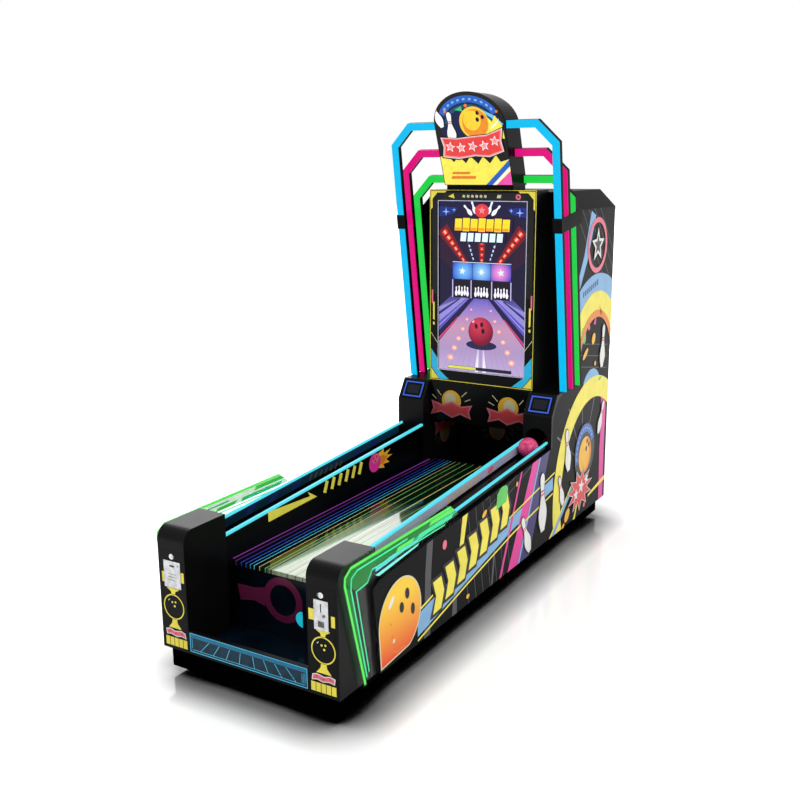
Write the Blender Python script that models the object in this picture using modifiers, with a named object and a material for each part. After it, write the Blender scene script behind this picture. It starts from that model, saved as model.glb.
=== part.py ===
"""A coin-operated mini bowling machine, modelled as the pieces it comes apart into.

Metres, +Z up. The player stands at -Y, the screen cabinet is at +Y, and +X is the coin side.
Sizes along the machine are measured from the tower fronts, and at() turns them into world Y.
"""

from math import atan, cos, pi, sin

import bmesh
import bpy
from mathutils import Matrix, Vector

# Clearances
gap = 0.0003
running_gap = 0.0005
door_gap = 0.0008
overrun = 0.03

# Body
body_width = 0.918
board_thickness = 0.018
body_depth = 2.844
base_z = 0.126
wall = 0.015

# Front towers
tower_width = 0.147
tower_depth = 0.263
tower_top = 0.668
tower_radius = 0.060

# Tower doors
door_margin_outer = 0.014
door_margin_inner = 0.006
door_margin_bottom = 0.010
door_top = 0.575
door_thickness = 0.005
door_lip = 0.010

# Cam locks
lock_head_radius = 0.0120
lock_head_depth = 0.003
lock_barrel_radius = 0.009
lock_barrel_depth = 0.020
lock_key_width = 0.0022
lock_key_height = 0.011
lock_key_depth = 0.0015
lock_cam_width = 0.012
lock_cam_length = 0.030
lock_cam_thickness = 0.002
lock_below_door_top = 0.025

# Plates on the doors
plate_depth = 0.004
ticket_plate_width = 0.092
ticket_plate_height = 0.120
coin_plate_width = 0.067
coin_plate_height = 0.124
plate_top_below_door_top = 0.045
plate_body_width = 0.048
plate_body_height = 0.108
plate_body_depth = 0.040
ticket_slot_width = 0.026
ticket_slot_height = 0.008
ticket_slot_below_top = 0.022
coin_slot_width = 0.0052
coin_slot_height = 0.034
coin_slot_below_top = 0.032
coin_cup_width = 0.030
coin_cup_height = 0.026
coin_cup_above_bottom = 0.026
coin_cup_depth = 0.022
button_radius = 0.0055
button_length = 0.012
button_proud = 0.0035
button_travel = 0.003
button_above_cup = 0.036
button_beside_slot = 0.014

# Coin box behind the coin door
coin_box_height = 0.110
coin_box_wall = 0.003
coin_box_depth = 0.150
coin_box_side_gap = 0.012

# Recess between the towers
kick_thickness = 0.018
kick_top = 0.228
liner_thickness = 0.012
liner_panel_y = 0.300

# Lane
lane_top = 0.4405
lane_thickness = 0.020
lane_before_cabinet = 0.290
mouth_before_cabinet = 0.410

# Side rails, with a ball trough in their top
rail_top_front = 0.5584
rail_slope_share = 0.060
rail_wall = 0.018
rail_outer_wall = 0.012
trough_depth = 0.065
trough_floor = 0.010
strip_height = 0.012
strip_round = 0.003

# Ball
ball_radius = 0.0535
ball_before_cabinet = 0.505

# Side boards
board_below_rail = 0.040
board_foot_y = 0.262
board_nose_y = 0.215
board_nose_z = 0.515
board_knee_y = 0.300
board_shoulder_radius = 0.172
board_top = 1.884

# Acrylic wings
wing_foot_y = 0.128
wing_brow_y = 0.004
wing_round = 0.062
wing_end_y = 0.930
wing_chamfer_y = 0.088
wing_chamfer_z = 0.066

# Shoulder blocks and the header between them
shoulder_top = 0.920
shoulder_slant_y = 0.070
shoulder_slant_z = 0.108
shoulder_wall = 0.012
lens_width = 0.130
lens_margin = 0.012
lens_thickness = 0.004
lens_border = 0.014
hood_radius = 0.066
port_length = 0.115
port_low_z = 0.240
port_high_z = 0.460
header_bottom = 0.690
header_before_cabinet = 0.330
header_thickness = 0.015

# Pit chute
chute_thickness = 0.008
chute_front_z = 0.400
chute_back_z = 0.300
chute_into_cabinet = 0.050
chute_back_top = 0.860

# Rear cabinet
lean_share = 0.150
cabinet_depth = 0.454
cabinet_top = 1.980
cabinet_chamfer = 0.096
rear_door_side = 0.090
rear_door_low = 0.270
rear_door_high = 1.740
rear_door_thickness = 0.006
rear_lock_inset = 0.030
passage_top = 0.890

# Mains inlet
inlet_width = 0.050
inlet_height = 0.028
inlet_flange = 0.008
inlet_flange_depth = 0.003
inlet_body_depth = 0.022
inlet_socket_depth = 0.016
inlet_socket_border = 0.004
inlet_from_side = 0.159
inlet_z = 0.200

# Screen housing and display
housing_beyond_lane = 0.008
housing_before_cabinet = 0.315
housing_bottom = 0.9225
housing_top = 1.993
housing_wall = 0.012
housing_face = 0.008
screen_side_border = 0.0555
screen_height = 0.941
screen_bottom = 0.9905
display_border = 0.022
display_depth = 0.045
controller_width = 0.300
controller_height = 0.240
controller_depth = 0.050

# Arches, front to back: distance before the cabinet's foot at arch_datum_z, top height
arch_beyond_board = 0.012
arch_bar = 0.039
arch_depth = 0.030
arch_light_depth = 0.0065
arch_chamfer = 0.112
arch_datum_z = 1.000
mitre_share = 0.586
arch_set = (
    ("cyan", 0.2575, 2.342),
    ("magenta", 0.1662, 2.203),
    ("green", 0.0658, 2.065),
)

# Straps across the arches
strap_z = 1.816
strap_height = 0.077
strap_thickness = 0.003
strap_cover = 0.048
strap_lap = 0.032

# Marquee
marquee_before_cabinet = 0.356
marquee_z = 2.018
marquee_lean_deg = 20.0
marquee_foot_half = 0.203
marquee_half = 0.205
marquee_straight = 0.336
marquee_dome = 0.164
marquee_depth = 0.172
marquee_wall = 0.006
marquee_face_depth = 0.003
marquee_face_lip = 0.004
marquee_arc_steps = 28
neck_half_width = 0.198
neck_depth = 0.150

# Ball lift
lift_before_cabinet = 0.060
lift_z = 0.500
lift_radius = 0.170
lift_beyond_lane = 0.024
lift_disc = 0.010
lift_paddle_length = 0.076
lift_paddle_thickness = 0.008
lift_paddle_inner = 0.045
lift_paddles = 4
lift_axle_radius = 0.010
roller_radius = 0.025
roller_width = 0.014
roller_shaft_radius = 0.006
stand_thickness = 0.008
stand_gap = 0.002
stand_boss = 0.030
stand_foot_depth = 0.160
stand_foot_width = 0.070
motor_radius = 0.032
motor_length = 0.090

# Base frame, castors and levelling feet
frame_tube = 0.045
frame_rail = 0.076
frame_inset = 0.030
skirt_inset = 0.024
skirt_thickness = 0.010
skirt_low = 0.030
skirt_step = 0.002
frame_cross_shares = (0, 0.24461, 0.50018, 0.75575, 1)
foot_inset_y = 0.120
foot_pad_radius = 0.024
foot_pad_height = 0.012
foot_pad_top_share = 0.7
foot_pad_rim_share = 0.5
foot_stem_radius = 0.006
foot_nut_radius = 0.011
foot_nut_height = 0.008
castor_inset_y = 0.240
castor_inset_x = 0.087
wheel_radius = 0.021
wheel_width = 0.018
wheel_lift = 0.003
wheel_axle_radius = 0.004
castor_trail = 0.011
fork_thickness = 0.0025
fork_side_gap = 0.0015
fork_width = 0.020
castor_plate = 0.056
castor_plate_thickness = 0.004
swivel_radius = 0.018

# Worked out
half_body = body_width / 2
outer_x = half_body + board_thickness
inner_x = half_body - tower_width
front_proud = plate_depth + button_proud
rear_proud = lock_head_depth
front_y = -(body_depth + rear_proud - front_proud) / 2
lean = atan(lean_share)
trough_inner_x = inner_x + rail_wall
trough_outer_x = half_body - rail_outer_wall
trough_x = (trough_inner_x + trough_outer_x) / 2
castor_x = half_body - castor_inset_x
cabinet_foot_y = body_depth - cabinet_depth
lane_end = cabinet_foot_y - lane_before_cabinet
mouth_front = cabinet_foot_y - mouth_before_cabinet
ball_y = cabinet_foot_y - ball_before_cabinet
header_y = cabinet_foot_y - header_before_cabinet
chute_back_y = cabinet_foot_y + chute_into_cabinet
inlet_x = half_body - inlet_from_side
housing_half_width = inner_x + housing_beyond_lane
housing_y = cabinet_foot_y - housing_before_cabinet
screen_width = 2 * (housing_half_width - screen_side_border)
arch_half_width = outer_x + arch_beyond_board
arches = [(colour, cabinet_foot_y - ahead, top) for colour, ahead, top in arch_set]
marquee_y = cabinet_foot_y - marquee_before_cabinet
lift_y = cabinet_foot_y - lift_before_cabinet
lift_x = inner_x + lift_beyond_lane
frame_cross_span = body_depth - 2 * frame_inset - frame_tube
frame_cross_places = [frame_inset + share * frame_cross_span for share in frame_cross_shares]
SIDES = (("left", -1), ("right", 1))
round_steps = 32


def at(y):
    """World Y of a place measured from the tower fronts."""
    return front_y + y


def rail_z(y):
    """Top of the lit strips, which rise towards the back."""
    return rail_top_front + rail_slope_share * y


def cabinet_y(z):
    """Front of the rear cabinet, which leans forward above the shoulders."""
    return cabinet_foot_y - lean_share * (z - shoulder_top)


def clear_scene():
    for thing in list(bpy.data.objects):
        bpy.data.objects.remove(thing, do_unlink=True)


def collection(name):
    made = bpy.data.collections.new(name)
    bpy.context.scene.collection.children.link(made)
    return made


def material(name, colour, roughness, metallic=0.0, glow=0.0, alpha=1.0):
    made = bpy.data.materials.new(name)
    made.use_nodes = True
    shader = made.node_tree.nodes["Principled BSDF"]
    shader.inputs["Base Color"].default_value = (*colour, 1.0)
    shader.inputs["Roughness"].default_value = roughness
    shader.inputs["Metallic"].default_value = metallic
    shader.inputs["Alpha"].default_value = alpha
    if glow:
        shader.inputs["Emission Color"].default_value = (*colour, 1.0)
        shader.inputs["Emission Strength"].default_value = glow
    return made


def new_object(name, mesh, finish, group=None):
    thing = bpy.data.objects.new(name, mesh)
    (group or PARTS).objects.link(thing)
    if finish:
        thing.data.materials.append(finish)
    return thing


def block(name, low, high, finish=None):
    """A box between two corners, with its origin at its middle."""
    low, high = Vector(low), Vector(high)
    mesh = bpy.data.meshes.new(name)
    shape = bmesh.new()
    bmesh.ops.create_cube(shape, size=1.0)
    bmesh.ops.scale(shape, vec=high - low, verts=shape.verts)
    shape.to_mesh(mesh)
    shape.free()
    thing = new_object(name, mesh, finish)
    thing.location = (low + high) / 2
    return thing


def block_lr(name, side, x_in, x_out, low_yz, high_yz, finish=None):
    """A box on one side of the machine, given by its distances from the middle."""
    xs = sorted((side * x_in, side * x_out))
    return block(name, (xs[0], *low_yz), (xs[1], *high_yz), finish)


def rod(name, radius, start, end, finish=None, steps=round_steps):
    """A cylinder between two points, with its origin at the first."""
    start, end = Vector(start), Vector(end)
    length = (end - start).length
    mesh = bpy.data.meshes.new(name)
    shape = bmesh.new()
    bmesh.ops.create_cone(
        shape, cap_ends=True, segments=steps, radius1=radius, radius2=radius, depth=length
    )
    bmesh.ops.translate(shape, vec=(0, 0, length / 2), verts=shape.verts)
    shape.to_mesh(mesh)
    shape.free()
    mesh.shade_smooth()
    mesh.set_sharp_from_angle(angle=pi / 5)
    thing = new_object(name, mesh, finish)
    thing.location = start
    thing.rotation_mode = "QUATERNION"
    thing.rotation_quaternion = (end - start).to_track_quat("Z", "Y")
    return thing


PLANES = {
    "XY": Matrix.Identity(4),
    "XZ": Matrix(((1, 0, 0), (0, 0, -1), (0, 1, 0))).to_4x4(),
    "YZ": Matrix(((0, 0, 1), (1, 0, 0), (0, 1, 0))).to_4x4(),
}


def prism(name, plane, outlines, start, end, finish=None):
    """A flat outline, with any holes, drawn in a plane and extruded along the third axis."""
    curve = bpy.data.curves.new(name, "CURVE")
    curve.dimensions = "2D"
    curve.fill_mode = "BOTH"
    curve.extrude = abs(end - start) / 2
    for outline in outlines:
        spline = curve.splines.new("POLY")
        spline.points.add(len(outline) - 1)
        for point, place in zip(spline.points, outline):
            point.co = (*place, 0, 1)
        spline.use_cyclic_u = True
    drawn = bpy.data.objects.new(name + "_outline", curve)
    PARTS.objects.link(drawn)
    graph = bpy.context.evaluated_depsgraph_get()
    mesh = bpy.data.meshes.new_from_object(drawn.evaluated_get(graph))
    bpy.data.objects.remove(drawn, do_unlink=True)
    shape = bmesh.new()
    shape.from_mesh(mesh)
    bmesh.ops.remove_doubles(shape, verts=shape.verts, dist=gap / 100)
    bmesh.ops.recalc_face_normals(shape, faces=shape.faces)
    shape.to_mesh(mesh)
    shape.free()
    mesh.materials.clear()
    thing = new_object(name, mesh, finish)
    middle = (start + end) / 2
    shifts = {"XY": (0, 0, middle), "XZ": (0, middle, 0), "YZ": (middle, 0, 0)}
    place = Matrix.Translation(shifts[plane])
    thing.matrix_world = place @ PLANES[plane]
    return thing


def turned(name, profile, place, direction, finish=None, steps=round_steps):
    """A profile of (radius, height) points, top to bottom, turned about its own axis."""
    mesh = bpy.data.meshes.new(name)
    shape = bmesh.new()
    points = [shape.verts.new((radius, 0, height)) for radius, height in profile]
    for first, second in zip(points, points[1:]):
        shape.edges.new((first, second))
    shape.to_mesh(mesh)
    shape.free()
    thing = new_object(name, mesh, finish)
    screw = thing.modifiers.new("Turn", "SCREW")
    screw.steps = screw.render_steps = steps
    screw.use_merge_vertices = True
    screw.merge_threshold = gap / 10
    screw.use_smooth_shade = True
    thing.location = place
    thing.rotation_mode = "QUATERNION"
    thing.rotation_quaternion = Vector(direction).to_track_quat("Z", "Y")
    return thing


def arc(centre, radius, start_deg, end_deg, steps):
    """Points of an arc in a plane, both ends included."""
    points = []
    for step in range(steps + 1):
        angle = (start_deg + (end_deg - start_deg) * step / steps) * pi / 180
        points.append((centre[0] + radius * cos(angle), centre[1] + radius * sin(angle)))
    return points


def as_helper(thing):
    """Puts a cutter, or a shape joined into another, out of the model."""
    for group in list(thing.users_collection):
        group.objects.unlink(thing)
    CUTTERS.objects.link(thing)
    thing.hide_render = True
    thing.display_type = "WIRE"


def combine(target, other, operation):
    modifier = target.modifiers.new(operation.title(), "BOOLEAN")
    modifier.operation = operation
    modifier.object = other
    modifier.solver = "EXACT"
    as_helper(other)
    return target


def cut(target, *cutters):
    for cutter in cutters:
        combine(target, cutter, "DIFFERENCE")
    return target


def join(target, *others):
    for other in others:
        combine(target, other, "UNION")
    return target


def round_edges(thing, width, segments=2, angle_deg=35):
    modifier = thing.modifiers.new("Rounded edges", "BEVEL")
    modifier.width = width
    modifier.segments = segments
    modifier.limit_method = "ANGLE"
    modifier.angle_limit = angle_deg * pi / 180
    modifier.use_clamp_overlap = True
    return thing


def set_origin(thing, place):
    """Moves an object's origin to a point on its joint's axis, and leaves its mesh where it is."""
    old = thing.matrix_basis.copy()
    new = old.copy()
    new.translation = Vector(place)
    thing.data.transform(new.inverted() @ old)
    thing.matrix_basis = new


def tower_outline():
    top_arc = arc((at(tower_radius), tower_top - tower_radius), tower_radius, 180, 90, 8)
    return [(at(0), base_z), *top_arc, (at(tower_depth), tower_top), (at(tower_depth), base_z)]


def door_span(side):
    """Distances of a tower door's outer and inner edges from the middle, and its foot and top."""
    return (
        half_body - door_margin_outer,
        inner_x + door_margin_inner,
        base_z + door_margin_bottom,
        door_top,
    )


def lock(name, place, facing, cam_way):
    """A cam lock: head in front, barrel through the panel, cam behind it. It turns about facing."""
    place, facing = Vector(place), Vector(facing)
    back = place - facing * lock_barrel_depth
    head = rod(name, lock_head_radius, place, place + facing * lock_head_depth, METAL["chrome"])
    barrel = rod(
        name + "_barrel", lock_barrel_radius, place + facing * lock_head_depth / 2, back
    )
    way = Vector(cam_way)
    across = way.cross(facing) * lock_cam_width / 2
    ends = (
        back - facing * lock_cam_thickness - across - way * lock_cam_width / 2,
        back + facing * gap + across + way * lock_cam_length,
    )
    low = [min(end[axis] for end in ends) for axis in range(3)]
    high = [max(end[axis] for end in ends) for axis in range(3)]
    cam = block(name + "_cam", low, high)
    key_half = Vector((lock_key_width / 2, lock_key_depth, lock_key_height / 2))
    key_at = place + facing * lock_head_depth
    key = block(name + "_keyway", key_at - key_half, key_at + key_half)
    join(head, barrel, cam)
    cut(head, key)
    return head


def make_tower(word, side):
    outer, inner, foot, top = door_span(side)
    xs = sorted((side * inner_x, side * half_body))
    shell = prism(f"{word}_tower_shell", "YZ", [tower_outline()], xs[0], xs[1], PAINT["casing"])
    cavity = block_lr(
        f"{word}_tower_cavity", side, inner_x + wall, half_body - wall,
        (at(wall), base_z + wall), (at(tower_depth - wall), tower_top - tower_radius),
    )
    rebate = block_lr(
        f"{word}_door_rebate", side, inner - door_gap, outer + door_gap,
        (at(-overrun), foot - door_gap), (at(door_thickness + gap), top + door_gap),
    )
    hole = block_lr(
        f"{word}_door_hole", side, inner + door_lip, outer - door_lip,
        (at(-overrun), foot + door_lip), (at(wall + overrun), top - door_lip),
    )
    return cut(shell, cavity, rebate, hole)


def make_door(word, side):
    outer, inner, foot, top = door_span(side)
    door = block_lr(
        f"{word}_tower_door", side, inner, outer,
        (at(0), foot), (at(door_thickness), top), PAINT["door"],
    )
    middle = side * (outer + inner) / 2
    lock_z = top - lock_below_door_top
    bore = rod(
        f"{word}_lock_bore", lock_barrel_radius + running_gap,
        (middle, at(-overrun), lock_z), (middle, at(overrun), lock_z),
    )
    plate_z = top - plate_top_below_door_top - plate_height(word) / 2
    half = Vector((plate_body_width / 2 + gap, overrun, plate_body_height / 2 + gap))
    window = block(
        f"{word}_plate_window",
        Vector((middle, at(0), plate_z)) - half, Vector((middle, at(0), plate_z)) + half,
    )
    cut(door, bore, window)
    set_origin(door, (side * outer, at(0), (foot + top) / 2))
    lock(f"{word}_door_lock", (middle, at(-gap), lock_z), (0, -1, 0), (-side, 0, 0))
    return middle, plate_z


def plate_height(word):
    return ticket_plate_height if word == "left" else coin_plate_height


def plate_blank(name, middle, plate_z, width, height):
    """A silver front plate with a body that goes through its door."""
    plate = block(
        name,
        (middle - width / 2, at(-gap - plate_depth), plate_z - height / 2),
        (middle + width / 2, at(-gap), plate_z + height / 2),
        METAL["steel"],
    )
    body = block(
        name + "_body",
        (middle - plate_body_width / 2, at(-gap - plate_depth / 2), plate_z - plate_body_height / 2),
        (middle + plate_body_width / 2, at(plate_body_depth), plate_z + plate_body_height / 2),
    )
    return join(round_edges(plate, plate_depth / 4, 2), body)


def slot_cutter(name, x, z, width, height, depth):
    return block(
        name,
        (x - width / 2, at(-overrun), z - height / 2),
        (x + width / 2, at(-gap - plate_depth + depth), z + height / 2),
    )


def make_ticket_plate(middle, plate_z):
    plate = plate_blank("ticket_plate", middle, plate_z, ticket_plate_width, ticket_plate_height)
    top = plate_z + ticket_plate_height / 2
    slot_z = top - ticket_slot_below_top
    through = plate_body_depth + overrun
    cut(
        plate,
        slot_cutter("ticket_slot", middle, slot_z, ticket_slot_width, ticket_slot_height, through),
    )


def make_coin_acceptor(middle, plate_z):
    plate = plate_blank("coin_acceptor", middle, plate_z, coin_plate_width, coin_plate_height)
    top = plate_z + coin_plate_height / 2
    bottom = plate_z - coin_plate_height / 2
    slot_z = top - coin_slot_below_top
    cup_z = bottom + coin_cup_above_bottom
    button_x = middle + button_beside_slot
    button_z = cup_z + button_above_cup
    through = plate_body_depth + overrun
    bore = rod(
        "return_button_bore", button_radius + running_gap,
        (button_x, at(-overrun), button_z),
        (button_x, at(button_length + button_travel), button_z),
    )
    cut(
        plate,
        slot_cutter("coin_slot", middle, slot_z, coin_slot_width, coin_slot_height, through),
        slot_cutter("coin_cup", middle, cup_z, coin_cup_width, coin_cup_height, coin_cup_depth),
        bore,
    )
    face = at(-gap - plate_depth)
    button = rod(
        "coin_return_button", button_radius,
        (button_x, face - button_proud, button_z),
        (button_x, face - button_proud + button_length, button_z),
        PLASTIC["red"],
    )
    round_edges(button, button_radius / 6, 2)


def make_coin_box():
    outer = half_body - wall - coin_box_side_gap
    inner = inner_x + wall + coin_box_side_gap
    low = base_z + wall + gap
    front = wall + door_lip
    box = block(
        "coin_box", (inner, at(front), low),
        (outer, at(front + coin_box_depth), low + coin_box_height), METAL["steel"],
    )
    hollow = block(
        "coin_box_hollow",
        (inner + coin_box_wall, at(front + coin_box_wall), low + coin_box_wall),
        (outer - coin_box_wall, at(front + coin_box_depth - coin_box_wall), low + coin_box_height + overrun),
    )
    cut(box, hollow)


def make_recess():
    reach = inner_x - gap
    block(
        "kick_panel", (-reach, at(0), base_z), (reach, at(kick_thickness), kick_top), PRINT["line_art"]
    )
    top = lane_top - lane_thickness - gap
    outline = [
        (at(kick_thickness + gap), base_z),
        (at(liner_panel_y + liner_thickness), base_z),
        (at(liner_panel_y + liner_thickness), top),
        (at(liner_panel_y), top),
        (at(liner_panel_y), base_z + liner_thickness),
        (at(kick_thickness + gap), base_z + liner_thickness),
    ]
    prism("recess_liner", "YZ", [outline], -reach, reach, PLASTIC["navy"])


def make_lane():
    reach = inner_x - gap
    bed = block(
        "lane_bed", (-reach, at(liner_panel_y), lane_top - lane_thickness),
        (reach, at(lane_end), lane_top), PLASTIC["lane"],
    )
    round_edges(bed, gap * 4, 1)


def sloped(name, side, x_in, x_out, y_start, y_end, low_of, high_of, finish=None):
    """A bar along the machine whose underside and top follow functions of Y."""
    xs = sorted((side * x_in, side * x_out))
    outline = [
        (at(y_start), low_of(y_start)),
        (at(y_end), low_of(y_end)),
        (at(y_end), high_of(y_end)),
        (at(y_start), high_of(y_start)),
    ]
    return prism(name, "YZ", [outline], xs[0], xs[1], finish)


def make_rail(word, side):
    start, end = tower_depth + gap, mouth_front - gap

    def under_strip(y):
        return rail_z(y) - strip_height - gap

    def floor_top(y):
        return rail_z(y) - trough_depth

    def floor_low(y):
        return floor_top(y) - trough_floor

    inner = sloped(
        f"{word}_rail", side, inner_x, trough_inner_x, start, end,
        lambda y: base_z, under_strip, PLASTIC["wall"],
    )
    floor = sloped(
        f"{word}_trough_floor", side, trough_inner_x - rail_wall / 2, half_body - gap - rail_outer_wall / 2,
        start, end, floor_low, floor_top,
    )
    outer = sloped(
        f"{word}_outer_wall", side, trough_outer_x, half_body - gap, start, end, floor_low, under_strip
    )
    join(inner, floor, outer)
    for place, low, high in (
        ("inner", inner_x, trough_inner_x), ("outer", trough_outer_x, half_body - gap),
    ):
        strip = sloped(
            f"{word}_{place}_strip", side, low, high, start, end,
            lambda y: rail_z(y) - strip_height, rail_z, LIGHT["trough"],
        )
        round_edges(strip, strip_round, 2)


def make_ball():
    centre = Vector((trough_x, at(ball_y), rail_z(ball_y) - trough_depth))
    normal = Vector((0, -rail_slope_share, 1)).normalized()
    mesh = bpy.data.meshes.new("ball")
    shape = bmesh.new()
    bmesh.ops.create_uvsphere(shape, u_segments=28, v_segments=18, radius=ball_radius)
    shape.to_mesh(mesh)
    shape.free()
    mesh.shade_smooth()
    ball = new_object("ball", mesh, PLASTIC["ball"])
    ball.location = centre + normal * (ball_radius + gap)


def board_line(y):
    return rail_z(y) - board_below_rail


def shoulder_arc(extra, steps=12):
    """The curved shoulder of a side board, from its vertical edge to its flat top."""
    centre = (
        at(mouth_front + board_thickness + board_shoulder_radius), shoulder_top - board_shoulder_radius
    )
    return arc(centre, board_shoulder_radius + extra, 180, 90, steps)


def make_side_board(word, side):
    xs = sorted((side * (half_body + gap), side * outer_x))
    edge = mouth_front + board_thickness
    outline = [
        (at(board_foot_y), base_z),
        (at(body_depth), base_z),
        (at(body_depth), board_top),
        (at(cabinet_y(board_top)), board_top),
        (at(cabinet_y(shoulder_top)), shoulder_top),
        *reversed(shoulder_arc(0)),
        (at(edge), board_line(edge)),
        (at(board_knee_y), board_line(board_knee_y)),
        (at(board_nose_y), board_nose_z),
    ]
    prism(f"{word}_side_board", "YZ", [outline], xs[0], xs[1], PRINT["side"])


def make_wing(word, side):
    xs = sorted((side * (half_body + gap), side * outer_x))
    brow = arc(
        (at(wing_brow_y + wing_round), tower_top - wing_round), wing_round, 180, 90, 8
    )
    outline = [
        (at(wing_foot_y), base_z),
        *brow,
        (at(wing_end_y - wing_chamfer_y), tower_top),
        (at(wing_end_y), tower_top - wing_chamfer_z),
        (at(wing_end_y), board_line(wing_end_y) + gap),
        (at(board_knee_y), board_line(board_knee_y) + gap),
        (at(board_nose_y - gap), board_nose_z + gap),
        (at(board_foot_y - gap), base_z),
    ]
    prism(f"{word}_wing", "YZ", [outline], xs[0], xs[1], CLEAR["acrylic"])


def shoulder_outline(inset):
    """Side outline of a shoulder block, drawn in by a wall's thickness."""
    run = Vector((shoulder_slant_y, shoulder_slant_z))
    normal = Vector((run.y, -run.x)).normalized() * inset
    low = Vector((mouth_front, shoulder_top - shoulder_slant_z))
    slope = run.y / run.x
    front = mouth_front + inset
    start = low + normal
    front_z = start.y + (front - start.x) * slope
    top = shoulder_top - inset
    top_y = start.x + (top - start.y) / slope
    back = cabinet_foot_y - gap + (overrun if inset else 0)
    foot = base_z - (overrun if inset else 0)
    return [
        (at(front), foot), (at(front), front_z), (at(top_y), top), (at(back), top), (at(back), foot),
    ]


def make_shoulder(word, side):
    xs = sorted((side * inner_x, side * (half_body - gap)))
    shoulder = prism(
        f"{word}_shoulder", "YZ", [shoulder_outline(0)], xs[0], xs[1], PAINT["casing"]
    )
    cavity_x = sorted((side * (inner_x + shoulder_wall), side * (half_body + overrun)))
    cavity = prism(
        f"{word}_shoulder_cavity", "YZ", [shoulder_outline(shoulder_wall)], cavity_x[0], cavity_x[1]
    )
    edge = mouth_front + board_thickness - gap
    cheek_foot = board_line(edge)
    slant = shoulder_outline(0)
    cheek_x = sorted((side * (half_body - wall / 2), side * outer_x))
    cheek = prism(
        f"{word}_cheek", "YZ",
        [[
            (slant[0][0], cheek_foot), slant[1], slant[2],
            (at(edge + board_shoulder_radius), shoulder_top),
            *reversed([(y - gap, z + gap) for y, z in shoulder_arc(0)[:-1]]),
            (at(edge), cheek_foot),
        ]],
        cheek_x[0], cheek_x[1],
    )
    cut(shoulder, cavity)
    join(shoulder, cheek)
    if side > 0:
        hood_z = rail_z(mouth_front)
        hood = rod(
            "hood_arch", hood_radius, (trough_x, at(mouth_front - overrun), hood_z),
            (trough_x, at(mouth_front + shoulder_wall + overrun / 2), hood_z),
        )
        half = trough_outer_x - trough_x
        mouth = block(
            "hood_mouth",
            (trough_x - half, at(mouth_front - overrun), hood_z - trough_depth),
            (trough_x + half, at(mouth_front + shoulder_wall + overrun / 2), hood_z),
        )
        port = block(
            "lift_port",
            (inner_x - overrun, at(cabinet_foot_y - port_length), port_low_z),
            (inner_x + shoulder_wall + overrun, at(cabinet_foot_y + overrun), port_high_z),
        )
        cut(shoulder, hood, mouth, port)


def make_lens(word, side):
    """A square, blue-edged lens that lies on a shoulder's slanted face."""
    middle = side * (inner_x + outer_x) / 2
    length = Vector((shoulder_slant_y, shoulder_slant_z)).length
    height = length - 2 * lens_margin
    tilt = Matrix.Rotation(atan(shoulder_slant_y / shoulder_slant_z) * -1, 4, "X")
    lens = block(
        f"{word}_shoulder_lens",
        (-lens_width / 2, -lens_thickness, -height / 2), (lens_width / 2, 0, height / 2),
        PLASTIC["lens"],
    )
    pocket = block(
        f"{word}_lens_pocket",
        (-lens_width / 2 + lens_border, -lens_thickness - overrun, -height / 2 + lens_border),
        (lens_width / 2 - lens_border, -lens_thickness / 2, height / 2 - lens_border),
    )
    centre = Vector((
        middle,
        at(mouth_front + shoulder_slant_y / 2),
        shoulder_top - shoulder_slant_z / 2,
    ))
    outward = tilt @ Vector((0, -1, 0))
    place = Matrix.Translation(centre + outward * gap) @ tilt
    for thing in (lens, pocket):
        thing.matrix_world = place @ Matrix.Translation(thing.location)
    cut(lens, pocket)


def make_header():
    reach = inner_x - gap
    block(
        "mouth_header", (-reach, at(header_y), header_bottom),
        (reach, at(header_y + header_thickness), shoulder_top), PRINT["header"],
    )


def make_chute():
    reach = inner_x - gap
    outline = [
        (at(lane_end + gap), chute_front_z - chute_thickness),
        (at(chute_back_y), chute_back_z - chute_thickness),
        (at(chute_back_y), chute_back_top),
        (at(chute_back_y - chute_thickness), chute_back_top),
        (at(chute_back_y - chute_thickness), chute_back_z + chute_thickness),
        (at(lane_end + gap), chute_front_z),
    ]
    chute = prism("pit_chute", "YZ", [outline], -reach, reach, PLASTIC["wall"])
    apron = block(
        "chute_apron", (-reach, at(lane_end + gap), chute_front_z - chute_thickness),
        (reach, at(lane_end + gap + chute_thickness), lane_top),
    )
    join(chute, apron)


def cabinet_profile(inset, low, high):
    """Side outline of the rear cabinet between two heights, drawn in by a wall's thickness."""
    rake = inset / cos(lean)
    front = [(at(cabinet_y(low) + rake), low), (at(cabinet_y(high) + rake), high)]
    if low < shoulder_top:
        foot = at(cabinet_foot_y + inset)
        front = [(foot, low), (foot, shoulder_top + gap), front[1]]
    return [*front, (at(body_depth - inset), high), (at(body_depth - inset), low)]


def cabinet_solid():
    """The cabinet's outside: a body between the side boards, and a chamfered head over them."""
    side, step = half_body - gap, board_top + gap
    body = prism(
        "rear_cabinet", "YZ", [cabinet_profile(0, base_z, cabinet_top)], -side, side, PAINT["casing"]
    )
    head = prism(
        "rear_cabinet_head", "YZ", [cabinet_profile(0, step, cabinet_top)], -outer_x, outer_x
    )
    join(body, head)
    for word, way in SIDES:
        corner = prism(
            f"rear_cabinet_chamfer_{word}", "XZ",
            [[
                (way * (outer_x + overrun), cabinet_top - cabinet_chamfer - overrun),
                (way * (outer_x + overrun), cabinet_top + overrun),
                (way * (outer_x - cabinet_chamfer - overrun), cabinet_top + overrun),
            ]],
            at(cabinet_y(cabinet_top) - 2 * overrun), at(body_depth + overrun),
        )
        cut(body, corner)
    return body


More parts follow.
